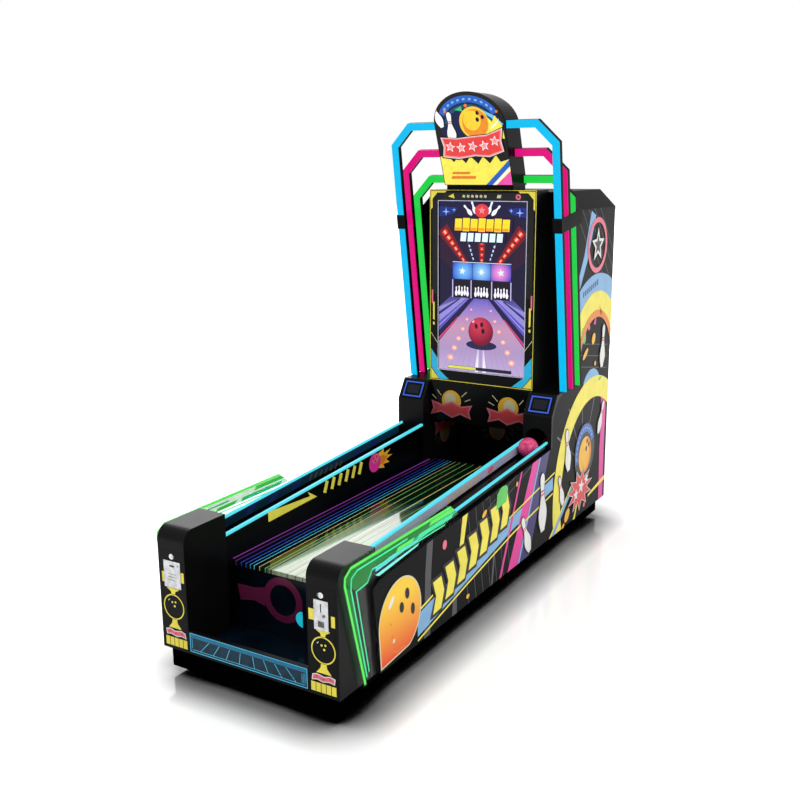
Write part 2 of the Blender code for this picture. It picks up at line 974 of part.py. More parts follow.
def cabinet_cavity():
    side, low = half_body - wall, base_z + wall
    high, slope = cabinet_top - wall, cabinet_chamfer
    cavity = prism("rear_cabinet_cavity", "YZ", [cabinet_profile(wall, low, high)], -side, side)
    for word, way in SIDES:
        corner = prism(
            f"rear_cabinet_cavity_chamfer_{word}", "XZ",
            [[
                (way * (side + overrun), high - slope - overrun), (way * (side + overrun), high + overrun),
                (way * (side - slope - overrun), high + overrun),
            ]],
            at(cabinet_y(cabinet_top) - 2 * overrun), at(body_depth + overrun),
        )
        cut(cavity, corner)
    return cavity


def make_cabinet():
    shell = cabinet_solid()
    cavity = cabinet_cavity()
    passage = block(
        "rear_cabinet_passage",
        (-half_body + 2 * wall, at(cabinet_foot_y - overrun), base_z + 2 * wall),
        (half_body - 2 * wall, at(cabinet_foot_y + wall + overrun), passage_top),
    )
    door_x = half_body - rear_door_side
    rebate = block(
        "rear_door_rebate",
        (-door_x - door_gap, at(body_depth - rear_door_thickness - gap), rear_door_low - door_gap),
        (door_x + door_gap, at(body_depth + overrun), rear_door_high + door_gap),
    )
    hole = block(
        "rear_door_hole",
        (-door_x + door_lip, at(body_depth - wall - overrun), rear_door_low + door_lip),
        (door_x - door_lip, at(body_depth + overrun), rear_door_high - door_lip),
    )
    inlet_hole = block(
        "inlet_hole",
        (inlet_x - inlet_width / 2 - gap, at(body_depth - wall - overrun), inlet_z - inlet_height / 2 - gap),
        (inlet_x + inlet_width / 2 + gap, at(body_depth + overrun), inlet_z + inlet_height / 2 + gap),
    )
    cut(shell, cavity, passage, rebate, hole, inlet_hole)


def make_rear_door():
    door_x = half_body - rear_door_side
    door = block(
        "rear_door", (-door_x, at(body_depth - rear_door_thickness), rear_door_low),
        (door_x, at(body_depth), rear_door_high), PAINT["door"],
    )
    lock_x = -door_x + rear_lock_inset
    lock_z = (rear_door_low + rear_door_high) / 2
    bore = rod(
        "rear_lock_bore", lock_barrel_radius + running_gap,
        (lock_x, at(body_depth - overrun), lock_z), (lock_x, at(body_depth + overrun), lock_z),
    )
    cut(door, bore)
    set_origin(door, (door_x, at(body_depth), lock_z))
    lock("rear_door_lock", (lock_x, at(body_depth + gap), lock_z), (0, 1, 0), (0, 0, -1))


def make_inlet():
    body = block(
        "mains_inlet",
        (inlet_x - inlet_width / 2, at(body_depth - inlet_body_depth), inlet_z - inlet_height / 2),
        (inlet_x + inlet_width / 2, at(body_depth + inlet_flange_depth / 2), inlet_z + inlet_height / 2),
        PLASTIC["black"],
    )
    flange_x = inlet_width / 2 + inlet_flange
    flange_z = inlet_height / 2 + inlet_flange
    flange = block(
        "inlet_flange",
        (inlet_x - flange_x, at(body_depth + gap), inlet_z - flange_z),
        (inlet_x + flange_x, at(body_depth + inlet_flange_depth), inlet_z + flange_z),
    )
    socket = block(
        "inlet_socket",
        (
            inlet_x - inlet_width / 2 + inlet_socket_border,
            at(body_depth - inlet_socket_depth),
            inlet_z - inlet_height / 2 + inlet_socket_border,
        ),
        (
            inlet_x + inlet_width / 2 - inlet_socket_border,
            at(body_depth + overrun),
            inlet_z + inlet_height / 2 - inlet_socket_border,
        ),
    )
    join(body, flange)
    cut(body, socket)


def make_housing():
    foot, top = housing_bottom, housing_top

    def back(z, extra=0.0):
        return min(cabinet_y(z), cabinet_foot_y) - gap / cos(lean) - extra

    def outline(inset):
        return [
            (at(housing_y + (housing_face if inset else 0)), foot + inset),
            (at(back(foot, inset)), foot + inset),
            (at(back(top, inset)), top - inset),
            (at(housing_y + (housing_face if inset else 0)), top - inset),
        ]

    half = housing_half_width
    shell = prism("screen_housing", "YZ", [outline(0)], -half, half, PAINT["housing"])
    cavity = prism(
        "housing_cavity", "YZ", [outline(housing_wall)], -half + housing_wall, half - housing_wall
    )
    window = block(
        "housing_window",
        (-screen_width / 2, at(housing_y - overrun), screen_bottom),
        (screen_width / 2, at(housing_y + housing_face + overrun / 2), screen_bottom + screen_height),
    )
    cut(shell, cavity, window)


def make_display():
    front = housing_y + housing_face + gap
    low, high = screen_bottom - display_border, screen_bottom + screen_height + display_border
    panel = block(
        "display", (-screen_width / 2 - display_border, at(front), low),
        (screen_width / 2 + display_border, at(front + display_depth), high), PLASTIC["screen"],
    )
    middle = screen_bottom + screen_height / 2
    controller = block(
        "display_controller",
        (-controller_width / 2, at(front + display_depth / 2), middle - controller_height / 2),
        (controller_width / 2, at(front + display_depth + controller_depth), middle + controller_height / 2),
    )
    join(panel, controller)


def arch_outline(half, top, chamfer, foot):
    return [
        (-half, foot), (-half, top - chamfer), (-half + chamfer, top),
        (half - chamfer, top), (half, top - chamfer), (half, foot),
    ]


def arch_prism(name, foot, top, bar, near, far, finish):
    """One arch, drawn upright in its own plane with its bars inside its outline."""
    trim = (arch_bar - bar) / 2
    outer = arch_outline(arch_half_width - trim, top - trim, arch_chamfer - trim * mitre_share, foot)
    half, high = arch_half_width - trim - bar, top - trim - bar
    inner = arch_outline(half, high, arch_chamfer - (trim + bar) * mitre_share, foot)
    return prism(name, "XZ", [outer[:] + list(reversed(inner))], near, far, finish)


def lean_place(datum_y):
    """Where an arch's own plane goes: its foot line leans forward about its datum."""
    return (
        Matrix.Translation((0, at(datum_y), arch_datum_z)) @ Matrix.Rotation(lean, 4, "X")
    )


def make_arch(colour, datum_y, top):
    along = (top - arch_datum_z) / cos(lean)
    foot = -(arch_datum_z - shoulder_top) / cos(lean) - overrun
    light = arch_prism(
        f"{colour}_arch_light", foot, along, arch_bar, 0, arch_light_depth, LIGHT[colour]
    )
    round_edges(light, arch_light_depth / 4, 2)
    channel = arch_prism(
        f"{colour}_arch_channel", foot, along, arch_bar,
        arch_light_depth + gap, arch_light_depth + gap + arch_depth, PAINT["arch"],
    )
    floor = block(
        f"{colour}_arch_floor",
        (-outer_x - overrun, at(datum_y - overrun), shoulder_top - overrun * 3),
        (outer_x + overrun, at(datum_y + overrun * 3), shoulder_top + gap),
    )
    for thing in (light, channel):
        thing.matrix_world = lean_place(datum_y) @ thing.matrix_world
        modifier = thing.modifiers.new("Foot", "BOOLEAN")
        modifier.operation = "DIFFERENCE"
        modifier.object = floor
        modifier.solver = "EXACT"
    as_helper(floor)


def make_strap(word, side):
    """A bent strap: over the front arch's face, past all three arches, and onto the side board."""
    datum_y = arches[0][1]
    low = (strap_z - arch_datum_z) / cos(lean) - strap_height / 2
    high = low + strap_height
    web_in, web_out = arch_half_width + gap, arch_half_width + gap + strap_thickness
    front = -gap - strap_thickness
    reach = (arches[2][1] - datum_y) * cos(lean) + arch_light_depth + arch_depth
    face = (cabinet_y(strap_z) - (datum_y - lean_share * (strap_z - arch_datum_z))) * cos(lean)
    back = face + strap_lap
    pad = max(reach + gap, back - strap_lap)
    outline = [
        (side * (arch_half_width - strap_cover), front), (side * web_out, front),
        (side * web_out, back), (side * (outer_x + gap), back), (side * (outer_x + gap), pad),
        (side * web_in, pad), (side * web_in, -gap), (side * (arch_half_width - strap_cover), -gap),
    ]
    strap = prism(f"{word}_strap", "XY", [outline], low, high, PAINT["strap"])
    strap.matrix_world = lean_place(datum_y) @ strap.matrix_world


def marquee_outline(inset):
    """Outline in the face's own plane: straight sides under a flattened dome."""
    dome = [
        (x * (marquee_half - inset), marquee_straight + z * (marquee_dome - inset))
        for x, z in arc((0, 0), 1, 0, 180, marquee_arc_steps)
    ]
    return [(-marquee_foot_half + inset, inset), (marquee_foot_half - inset, inset), *dome]


def marquee_prism(name, inset, near, far, finish=None):
    """An outline of the leaning face, carried straight back from one depth to another."""
    lean_by = marquee_lean_deg * pi / 180
    outline = [(x, z * cos(lean_by)) for x, z in marquee_outline(inset)]
    thing = prism(name, "XZ", [outline], near, far, finish)
    shear = Matrix.Identity(4)
    shear[1][2] = -sin(lean_by) / cos(lean_by)
    thing.data.transform(shear @ thing.matrix_basis)
    thing.matrix_basis = Matrix.Translation((0, at(marquee_y), marquee_z))
    return thing


def make_marquee():
    box = marquee_prism("marquee_box", 0, 0, marquee_depth, PAINT["casing"])
    rim = marquee_prism("marquee_rim", marquee_face_lip - gap, -overrun, marquee_face_depth + gap)
    hollow = marquee_prism(
        "marquee_hollow", marquee_wall + marquee_face_lip, -overrun, marquee_depth - marquee_wall
    )
    marquee_prism("marquee_face", marquee_face_lip, 0, marquee_face_depth, PRINT["marquee"])
    neck = block(
        "marquee_neck",
        (-neck_half_width, at(marquee_y + wall), housing_top + gap),
        (neck_half_width, at(marquee_y + wall + neck_depth), marquee_z + wall),
    )
    join(box, neck)
    cut(box, rim, hollow)
    for colour, datum_y, top in arches:
        along = (top - arch_datum_z) / cos(lean)
        slot = block(
            f"marquee_slot_{colour}",
            (-marquee_half - overrun, -running_gap, along - arch_bar - running_gap),
            (
                marquee_half + overrun,
                arch_light_depth + gap + arch_depth + running_gap,
                along + running_gap,
            ),
        )
        slot.matrix_world = lean_place(datum_y) @ Matrix.Translation(slot.location)
        cut(box, slot)


def make_lift():
    centre = Vector((lift_x, at(lift_y), lift_z))
    along = Vector((1, 0, 0))
    wheel = rod("lift_wheel", lift_radius, centre, centre + along * lift_disc, PLASTIC["lift"], 48)
    axle = rod(
        "lift_axle", lift_axle_radius,
        centre - along * (stand_gap + stand_thickness), centre + along * lift_disc / 2,
    )
    join(wheel, axle)
    for number in range(lift_paddles):
        turn = Matrix.Rotation((number + 0.5) * 2 * pi / lift_paddles, 4, "X")
        paddle = block(
            f"lift_paddle_{number}",
            (lift_disc / 2, lift_paddle_inner, -lift_paddle_thickness / 2),
            (lift_disc + lift_paddle_length, lift_radius - lift_paddle_thickness, lift_paddle_thickness / 2),
        )
        paddle.matrix_world = Matrix.Translation(centre) @ turn @ Matrix.Translation(paddle.location)
        join(wheel, paddle)
    roller_y = lift_y + lift_radius + roller_radius + gap
    roller_at = Vector((lift_x - (roller_width - lift_disc) / 2, at(roller_y), lift_z))
    roller = rod("drive_roller", roller_radius, roller_at, roller_at + along * roller_width, RUBBER)
    stand_x = lift_x - stand_gap - stand_thickness
    shaft_end = stand_x - stand_thickness
    shaft = rod(
        "roller_shaft", roller_shaft_radius, (shaft_end, at(roller_y), lift_z),
        (lift_x, at(roller_y), lift_z),
    )
    join(roller, shaft)
    floor = base_z + wall + gap
    outline = [
        (at(cabinet_foot_y + wall + gap), floor),
        (at(roller_y + stand_boss), floor),
        (at(roller_y + stand_boss), lift_z + stand_boss),
        (at(lift_y - stand_boss), lift_z + stand_boss),
        (at(lift_y - stand_boss), lift_z - stand_boss),
        (at(cabinet_foot_y + wall + gap), lift_z - stand_boss * 3),
    ]
    stand = prism("lift_stand", "YZ", [outline], stand_x, stand_x + stand_thickness, METAL["steel"])
    foot = block(
        "lift_stand_foot", (stand_x - stand_foot_width, at(cabinet_foot_y + wall + gap), floor),
        (stand_x + stand_thickness, at(cabinet_foot_y + wall + stand_foot_depth), floor + stand_thickness),
    )
    motor = rod(
        "lift_motor_body", motor_radius, (stand_x + stand_thickness / 2, at(roller_y), lift_z),
        (stand_x - motor_length, at(roller_y), lift_z),
    )
    bore = rod(
        "lift_axle_bore", lift_axle_radius + running_gap,
        (stand_x - overrun, at(lift_y), lift_z), (stand_x + overrun, at(lift_y), lift_z),
    )
    shaft_bore = rod(
        "roller_shaft_bore", roller_shaft_radius + running_gap,
        (shaft_end - stand_thickness, at(roller_y), lift_z), (stand_x + overrun, at(roller_y), lift_z),
    )
    join(stand, foot, motor)
    cut(stand, bore, shaft_bore)


def castor_places():
    """Name, side and Y of each castor's pivot, and whether it swivels."""
    for end, y, swivels in (("front", castor_inset_y, True), ("rear", body_depth - castor_inset_y, False)):
        for word, side in SIDES:
            yield f"{end}_{word}", side * castor_x, y, swivels


def fork_shapes(name, x, pivot_y, top):
    """The legs and yoke of a castor fork, which trails behind its pivot."""
    axle_y, axle_z = pivot_y + castor_trail, wheel_lift + wheel_radius
    half = wheel_width / 2 + fork_side_gap
    yoke_low = axle_z + wheel_radius + fork_side_gap
    yoke = block(
        name, (x - half - fork_thickness, at(pivot_y - fork_width / 2), yoke_low),
        (x + half + fork_thickness, at(axle_y + fork_width / 2), yoke_low + fork_thickness),
    )
    stem = rod(
        name + "_stem", swivel_radius / 2,
        (x, at(pivot_y), yoke_low + fork_thickness / 2), (x, at(pivot_y), top),
    )
    legs = []
    for side in (-1, 1):
        leg = block_lr(
            f"{name}_leg_{side}", 1, x + side * half, x + side * (half + fork_thickness),
            (at(axle_y - fork_width / 2), axle_z - fork_width / 2),
            (at(axle_y + fork_width / 2), yoke_low + fork_thickness / 2),
        )
        legs.append(leg)
    bore = rod(
        name + "_bore", wheel_axle_radius + running_gap,
        (x - half - overrun, at(axle_y), axle_z), (x + half + overrun, at(axle_y), axle_z), steps=16,
    )
    return yoke, stem, legs, bore


def base_skirt(top):
    """The recessed plinth round the base frame, open below."""
    loops = []
    for inset in (skirt_inset, skirt_inset + skirt_thickness):
        x, near, far = half_body - inset, at(inset), at(body_depth - inset)
        loops.append([(-x, near), (x, near), (x, far), (-x, far)])
    return prism("base_skirt", "XY", loops, skirt_low, top)


def make_base():
    top, low = base_z - gap, base_z - gap - frame_tube
    end = body_depth - frame_inset
    far = half_body - frame_inset
    near = far - frame_rail
    windows = [
        [
            (-near, at(y + frame_tube)), (near, at(y + frame_tube)),
            (near, at(following)), (-near, at(following)),
        ]
        for y, following in zip(frame_cross_places, frame_cross_places[1:])
    ]
    rim = [(-far, at(frame_inset)), (far, at(frame_inset)), (far, at(end)), (-far, at(end))]
    frame = prism("base_frame", "XY", [rim, *windows], low, top, METAL["frame"])
    join(frame, base_skirt(top - skirt_step))
    for name, place, y, swivels in castor_places():
        plate = block(
            f"castor_plate_{name}",
            (place - castor_plate / 2, at(y - castor_plate / 2), low - castor_plate_thickness),
            (place + castor_plate / 2, at(y + castor_plate / 2), low + castor_plate_thickness / 2),
        )
        join(frame, plate)
        plate_low = low - castor_plate_thickness
        axle_y, axle_z = y + castor_trail, wheel_lift + wheel_radius
        if swivels:
            yoke, stem, legs, bore = fork_shapes(f"castor_fork_{name}", place, y, plate_low - gap)
            join(yoke, stem, *legs)
            cut(yoke, bore)
            yoke.data.materials.append(METAL["steel"])
            set_origin(yoke, (place, at(y), plate_low))
        else:
            yoke, stem, legs, bore = fork_shapes(
                f"castor_fork_{name}", place, y, plate_low + castor_plate_thickness / 2
            )
            join(frame, yoke, stem, *legs)
            cut(frame, bore)
        half = wheel_width / 2
        tread = half - fork_side_gap
        stub = half + fork_side_gap + fork_thickness
        profile = [
            (0, stub), (wheel_axle_radius, stub), (wheel_axle_radius, half),
            (wheel_radius - fork_side_gap, half), (wheel_radius, tread),
            (wheel_radius, -tread), (wheel_radius - fork_side_gap, -half),
            (wheel_axle_radius, -half), (wheel_axle_radius, -stub), (0, -stub),
        ]
        turned(f"castor_wheel_{name}", profile, (place, at(axle_y), axle_z), (1, 0, 0), RUBBER, 28)
    for end_word, y in (("front", foot_inset_y), ("rear", body_depth - foot_inset_y)):
        for word, side in SIDES:
            height = low - gap
            profile = [
                (0, height), (foot_nut_radius, height), (foot_nut_radius, height - foot_nut_height),
                (foot_stem_radius, height - foot_nut_height), (foot_stem_radius, foot_pad_height),
                (foot_pad_radius * foot_pad_top_share, foot_pad_height),
                (foot_pad_radius, foot_pad_height * foot_pad_rim_share),
                (foot_pad_radius, 0), (0, 0),
            ]
            turned(
                f"levelling_foot_{end_word}_{word}", profile, (side * castor_x, at(y), 0), (0, 0, 1),
                METAL["steel"], 24,
            )


def build():
    make_base()
    for word, side in SIDES:
        make_tower(word, side)
        middle, plate_z = make_door(word, side)
        if side < 0:
            make_ticket_plate(middle, plate_z)
        else:
            make_coin_acceptor(middle, plate_z)
        make_rail(word, side)
        make_side_board(word, side)
        make_wing(word, side)
        make_shoulder(word, side)
        make_lens(word, side)
        make_strap(word, side)
    make_coin_box()
    make_recess()
    make_lane()
    make_ball()
    make_header()
    make_chute()
    make_cabinet()
    make_rear_door()
    make_inlet()
    make_housing()
    make_display()
    for colour, datum_y, top in arches:
        make_arch(colour, datum_y, top)
    make_marquee()
    make_lift()


clear_scene()
PARTS = collection("bowling_machine")
CUTTERS = collection("cutters")
PAINT = {
    "casing": material("charcoal powder coat", (0.055, 0.056, 0.060), 0.45),
    "door": material("black door paint", (0.018, 0.018, 0.020), 0.35),
    "housing": material("black housing paint", (0.020, 0.020, 0.022), 0.35),
    "arch": material("black arch paint", (0.012, 0.012, 0.014), 0.40),
    "strap": material("grey strap paint", (0.100, 0.100, 0.105), 0.50),
}
METAL = {
    "steel": material("brushed steel", (0.55, 0.56, 0.58), 0.35, 1.0),
    "chrome": material("chromed zinc", (0.70, 0.70, 0.72), 0.15, 1.0),
    "frame": material("black steel frame", (0.015, 0.015, 0.016), 0.50, 0.6),
}
PLASTIC = {
    "black": material("black moulding", (0.015, 0.015, 0.015), 0.45),
    "red": material("red button", (0.60, 0.03, 0.03), 0.30),
    "navy": material("navy gloss panel", (0.010, 0.014, 0.030), 0.12),
    "lane": material("black gloss lane", (0.012, 0.012, 0.014), 0.08),
    "wall": material("black gloss wall", (0.012, 0.012, 0.014), 0.15),
    "ball": material("pink resin ball", (0.75, 0.08, 0.28), 0.12),
    "lens": material("blue edged lens", (0.080, 0.110, 0.300), 0.25),
    "screen": material("display glass", (0.030, 0.020, 0.080), 0.08),
    "lift": material("grey lift wheel", (0.25, 0.25, 0.26), 0.45),
}
PRINT = {
    "side": material("printed side board", (0.080, 0.080, 0.085), 0.25),
    "line_art": material("blue line print", (0.010, 0.060, 0.110), 0.25),
    "header": material("printed header", (0.060, 0.040, 0.040), 0.25),
    "marquee": material("printed marquee face", (0.700, 0.450, 0.200), 0.20),
}
LIGHT = {
    "trough": material("cyan trough light", (0.20, 0.85, 0.90), 0.40, glow=1.0),
    "cyan": material("cyan neon", (0.02, 0.62, 0.95), 0.40, glow=1.0),
    "magenta": material("magenta neon", (0.90, 0.02, 0.30), 0.40, glow=1.0),
    "green": material("green neon", (0.05, 0.78, 0.18), 0.40, glow=1.0),
}
CLEAR = {"acrylic": material("green lit acrylic", (0.60, 0.95, 0.75), 0.05, alpha=0.4)}
RUBBER = material("black rubber", (0.020, 0.020, 0.020), 0.75)
build()
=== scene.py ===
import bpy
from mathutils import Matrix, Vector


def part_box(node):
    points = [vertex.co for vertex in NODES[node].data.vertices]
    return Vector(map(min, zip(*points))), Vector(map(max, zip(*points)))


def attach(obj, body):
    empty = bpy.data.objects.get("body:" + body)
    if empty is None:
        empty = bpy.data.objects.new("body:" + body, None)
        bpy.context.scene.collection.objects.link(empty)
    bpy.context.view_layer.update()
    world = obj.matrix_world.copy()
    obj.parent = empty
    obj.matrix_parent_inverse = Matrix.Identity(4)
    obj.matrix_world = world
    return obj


bl_info = {
    "name": "Bowling arcade machine",
    "version": (1, 0, 0),
    "blender": (4, 5, 0),
    "location": "3D View > Sidebar > Bowling",
    "description": "Dresses the framed bowling machine with its prints, lights, fittings and finishes",
    "category": "Object",
}

from functools import cache
from math import cos, pi, radians, sin

import bpy
from bpy.props import FloatProperty, FloatVectorProperty, IntProperty, PointerProperty
from bpy.types import Operator, Panel, PropertyGroup
from mathutils import Matrix, Vector

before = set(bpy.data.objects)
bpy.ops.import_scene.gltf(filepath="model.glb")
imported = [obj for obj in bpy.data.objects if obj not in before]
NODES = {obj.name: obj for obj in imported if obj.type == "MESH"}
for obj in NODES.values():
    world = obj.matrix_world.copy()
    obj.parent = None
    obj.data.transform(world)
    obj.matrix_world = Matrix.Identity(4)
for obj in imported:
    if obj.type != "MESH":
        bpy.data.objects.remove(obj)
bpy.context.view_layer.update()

# Places taken from the frame, in metres
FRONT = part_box("left_tower_door")[0][1]
BOARD_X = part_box("right_side_board")[1][0]
WALL_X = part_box("right_rail")[0][0]
LANE_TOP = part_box("lane_bed")[1][2]
RECESS_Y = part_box("lane_bed")[0][1]
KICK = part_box("kick_panel")
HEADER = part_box("mouth_header")
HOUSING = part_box("screen_housing")
SCREEN_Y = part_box("display")[0][1]
REAR_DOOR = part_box("rear_door")
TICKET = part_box("ticket_plate")
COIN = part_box("coin_acceptor")

# The screen's lit area and the marquee's leaning face
SCREEN_HALF = 0.2645
SCREEN_LOW, SCREEN_HIGH = 0.9905, 1.9315
MARQUEE_Y, MARQUEE_Z, MARQUEE_LEAN = 2.034, 2.018, radians(20)
MARQUEE_STRAIGHT = 0.336

# The picture's lanes end here, at the pins
PICTURE_FAR = 1.405

# The balls' troughs: their walls, depth and slope
TROUGH_IN, TROUGH_OUT, TROUGH_DEEP = 0.330, 0.447, 0.065
RAIL_FOOT, RAIL_RISE = 0.5584, 0.06

CHUTE_WALL = 0.008

# The gap under a print's first sheet, and how far a trimming solid stands out past its node
GLUE = 0.00003
SIDE_REACH, MARQUEE_REACH = 0.006, 0.0028

# The rear door's louvres: a fin's size, its rows, and the step up to the upper field
FIN = (0.260, 0.0034, 0.018)
FIN_LOW, FIN_PITCH, FIN_ROWS, FIN_UPPER = 0.46, 0.030, 8, 0.90

# Radii of the screws' heads, and how far in from its corners the coin plate's sit
COIN_SCREW, DOOR_SCREW = 0.0030, 0.0035
COIN_INSET = 0.007

# The camera, as fitted to the photograph
CAMERA_PLACE = (2.4682, -4.26025, 2.1398)
CAMERA_YAW, CAMERA_PITCH, CAMERA_ROLL = 0.5469, -0.2331, -0.0082
CAMERA_LENS, CAMERA_SENSOR, CAMERA_REACH = 45.04, 36.0, 200

# The soft lamps: name, place, aim, width and watts
LAMPS = (
    ("back_lamp", (-4.2, 3.6, 3.4), (0, -0.6, 0.6), 4.5, 170),
    ("top_lamp", (0.2, -0.4, 5.2), (0, -0.2, 0.6), 3.2, 90),
    ("side_lamp", (4.6, -2.6, 3.6), (0, 0, 0.8), 2.6, 80),
)

SIDES = (("left", -1), ("right", 1))

# Ink colours of the prints, as they look
INK = {
    "yellow": "#FFF05A", "gold": "#FFC236", "orange": "#F28A2C", "red": "#E5484A", "rose": "#F0788C",
    "pink": "#EE3CA2", "magenta": "#C02A74", "sky": "#86B8E4", "blue": "#3D6FC4", "navy": "#1E2C66",
    "purple": "#35286C", "green": "#63D25E", "white": "#F4F4F0", "black": "#0E0E10", "soot": "#1B1B1D",
    "ash": "#4C4C50", "slate": "#5E5E64", "cream": "#E6DEB4",
}

# Inks of the lit marquee
MARQUEE_INK = {
    "yellow": "#FFF25C", "gold": "#FFD83A", "amber": "#F7952A", "orange": "#F0822A", "red": "#EE4545",
    "rose": "#FF9A9A", "pink": "#F255B4", "sky": "#7CC8F4", "blue": "#2C62C8", "teal": "#12546E",
    "navy": "#0C1A48", "green": "#3CC87C", "white": "#FFFFFF", "cream": "#FFFFDC",
}


def tint(code):
    """A colour as it looks, in hex, turned to the linear values that a shader reads."""
    parts = [int(code[i:i + 2], 16) / 255 for i in (1, 3, 5)]
    return tuple(p / 12.92 if p <= 0.04045 else ((p + 0.055) / 1.055) ** 2.4 for p in parts) + (1.0,)


def darker(code, share):
    """A hex colour with each of its parts cut to a share."""
    return "#" + "".join(f"{int(int(code[i:i + 2], 16) * share):02X}" for i in (1, 3, 5))


def rail_line(run):
    """Height of the rails' top, which rises to the back."""
    return RAIL_FOOT + RAIL_RISE * run


# Settings


class NeonSettings(PropertyGroup):
    """Colours and level of the lit covers."""

    cyan: FloatVectorProperty(
        name="Cyan arch", description="Light of the front arch", subtype="COLOR", size=3,
        min=0, max=1, default=tint("#0ABEF2")[:3],
    )
    magenta: FloatVectorProperty(
        name="Magenta arch", description="Light of the middle arch", subtype="COLOR", size=3,
        min=0, max=1, default=tint("#E00C7C")[:3],
    )
    green: FloatVectorProperty(
        name="Green arch", description="Light of the rear arch", subtype="COLOR", size=3,
        min=0, max=1, default=tint("#24D24A")[:3],
    )
    trough: FloatVectorProperty(
        name="Trough strips", description="Light of the strips along the rails", subtype="COLOR",
        size=3, min=0, max=1, default=tint("#55DDEE")[:3],
    )
    wing: FloatVectorProperty(
        name="Wing lines", description="Light of the lines engraved in the clear wings",
        subtype="COLOR", size=3, min=0, max=1, default=tint("#5CE85A")[:3],
    )
    level: FloatProperty(
        name="Level", description="How bright the lit covers are, 1 as they look", default=1.0,
        min=0, max=5,
    )


class PrintSettings(PropertyGroup):
    """Sizes of the cut vinyl that the prints are made of."""

    thickness: FloatProperty(
        name="Vinyl", description="Thickness of one sheet of vinyl", default=0.00012,
        min=0.00002, max=0.001, precision=5, subtype="DISTANCE", unit="LENGTH",
    )
    step: FloatProperty(
        name="Step", description="Height from one sheet to the next", default=0.00014,
        min=0.00002, max=0.001, precision=5, subtype="DISTANCE", unit="LENGTH",
    )
    chevrons: IntProperty(
        name="Chevrons", description="Yellow chevrons in the row on each side", default=7, min=1, max=9,
    )
    ball: FloatProperty(
        name="Ball", description="Radius of the printed ball on each side", default=0.153,
        min=0.05, max=0.17, subtype="DISTANCE", unit="LENGTH",
    )


class StageSettings(PropertyGroup):
    """The light and the floor."""

    sky: FloatProperty(
        name="Sky", description="Level of the light from all round", default=0.74, min=0, max=3,
    )
    floor: FloatProperty(
        name="Floor", description="Half the floor's width", default=40.0, min=5, max=200,
        subtype="DISTANCE", unit="LENGTH",
    )
    shadow: FloatProperty(
        name="Contact shadow", description="How far the dark under the machine spreads", default=0.23,
        min=0.05, max=2, subtype="DISTANCE", unit="LENGTH",
    )


# Materials


def add_node(tree, kind, values=None, links=None, **settings):
    """One node, with its settings, its values and its links from other nodes' sockets."""
    node = tree.nodes.new(kind)
    for key, value in settings.items():
        setattr(node, key, value)
    for key, value in (values or {}).items():
        node.inputs[key].default_value = value
    for key, socket in (links or {}).items():
        tree.links.new(socket, node.inputs[key])
    return node


def set_ramp(node, stops, smooth=True):
    """Gives a colour ramp its stops, each a place and a linear colour."""
    ramp = node.color_ramp
    ramp.interpolation = "LINEAR" if smooth else "CONSTANT"
    while len(ramp.elements) > 1:
        ramp.elements.remove(ramp.elements[-1])
    ramp.elements[0].position, ramp.elements[0].color = stops[0]
    for place, colour in stops[1:]:
        ramp.elements.new(place).color = colour


def start_finish(name, values):
    """A new material with its uniform values on the shader, and the place on the piece."""
    finish = bpy.data.materials.new(name)
    finish.use_nodes = True
    tree = finish.node_tree
    shader = tree.nodes["Principled BSDF"]
    for key, value in values.items():
        shader.inputs[key].default_value = value
    place = add_node(tree, "ShaderNodeTexCoord").outputs["Object"]
    return finish, tree, shader, place


def add_grain(tree, shader, place, grain, height, stretch=(1, 1, 1)):
    """A fine relief: grains of that size and height in metres, drawn out by stretch."""
    spread = add_node(tree, "ShaderNodeMapping", {"Scale": stretch}, {"Vector": place})
    noise = add_node(
        tree, "ShaderNodeTexNoise", {"Scale": 1 / grain, "Detail": 2.0, "Roughness": 0.6},
        {"Vector": spread.outputs["Vector"]},
    )
    bump = add_node(
        tree, "ShaderNodeBump", {"Strength": 0.6, "Distance": height}, {"Height": noise.outputs["Fac"]}
    )
    tree.links.new(bump.outputs["Normal"], shader.inputs["Normal"])
    return noise.outputs["Fac"]


def vary_gloss(tree, shader, pattern, low, high):
    """A roughness that follows a pattern between two values."""
    gloss = add_node(tree, "ShaderNodeMapRange", {"To Min": low, "To Max": high}, {"Value": pattern})
    tree.links.new(gloss.outputs["Result"], shader.inputs["Roughness"])


def light_up(tree, shader, ramp, share):
    """A ramp's colour as light, and a share of it as the surface's own colour."""
    tree.links.new(ramp.outputs["Color"], shader.inputs["Emission Color"])
    shade = add_node(tree, "ShaderNodeHueSaturation", {"Value": share}, {"Color": ramp.outputs["Color"]})
    tree.links.new(shade.outputs["Color"], shader.inputs["Base Color"])


def add_patches(tree, shader, place, dark, pale, size, rough):
    """Soft patches between two colours, and a roughness that follows them between two values."""
    noise = add_node(
        tree, "ShaderNodeTexNoise", {"Scale": 1 / size, "Detail": 4.0, "Roughness": 0.55}, {"Vector": place}
    )
    ramp = add_node(tree, "ShaderNodeValToRGB", links={"Fac": noise.outputs["Fac"]})
    set_ramp(ramp, [(0.30, tint(dark)), (0.72, tint(pale))])
    tree.links.new(ramp.outputs["Color"], shader.inputs["Base Color"])
    vary_gloss(tree, shader, noise.outputs["Fac"], *rough)
    return ramp.outputs["Color"]


def plain_finish(name, dark, pale, size, rough, grain, height, stretch=(1, 1, 1), **values):
    """A finish of soft patches with a fine grain over them."""
    finish, tree, shader, place = start_finish(name, values)
    add_patches(tree, shader, place, dark, pale, size, rough)
    add_grain(tree, shader, place, grain, height, stretch)
    return finish


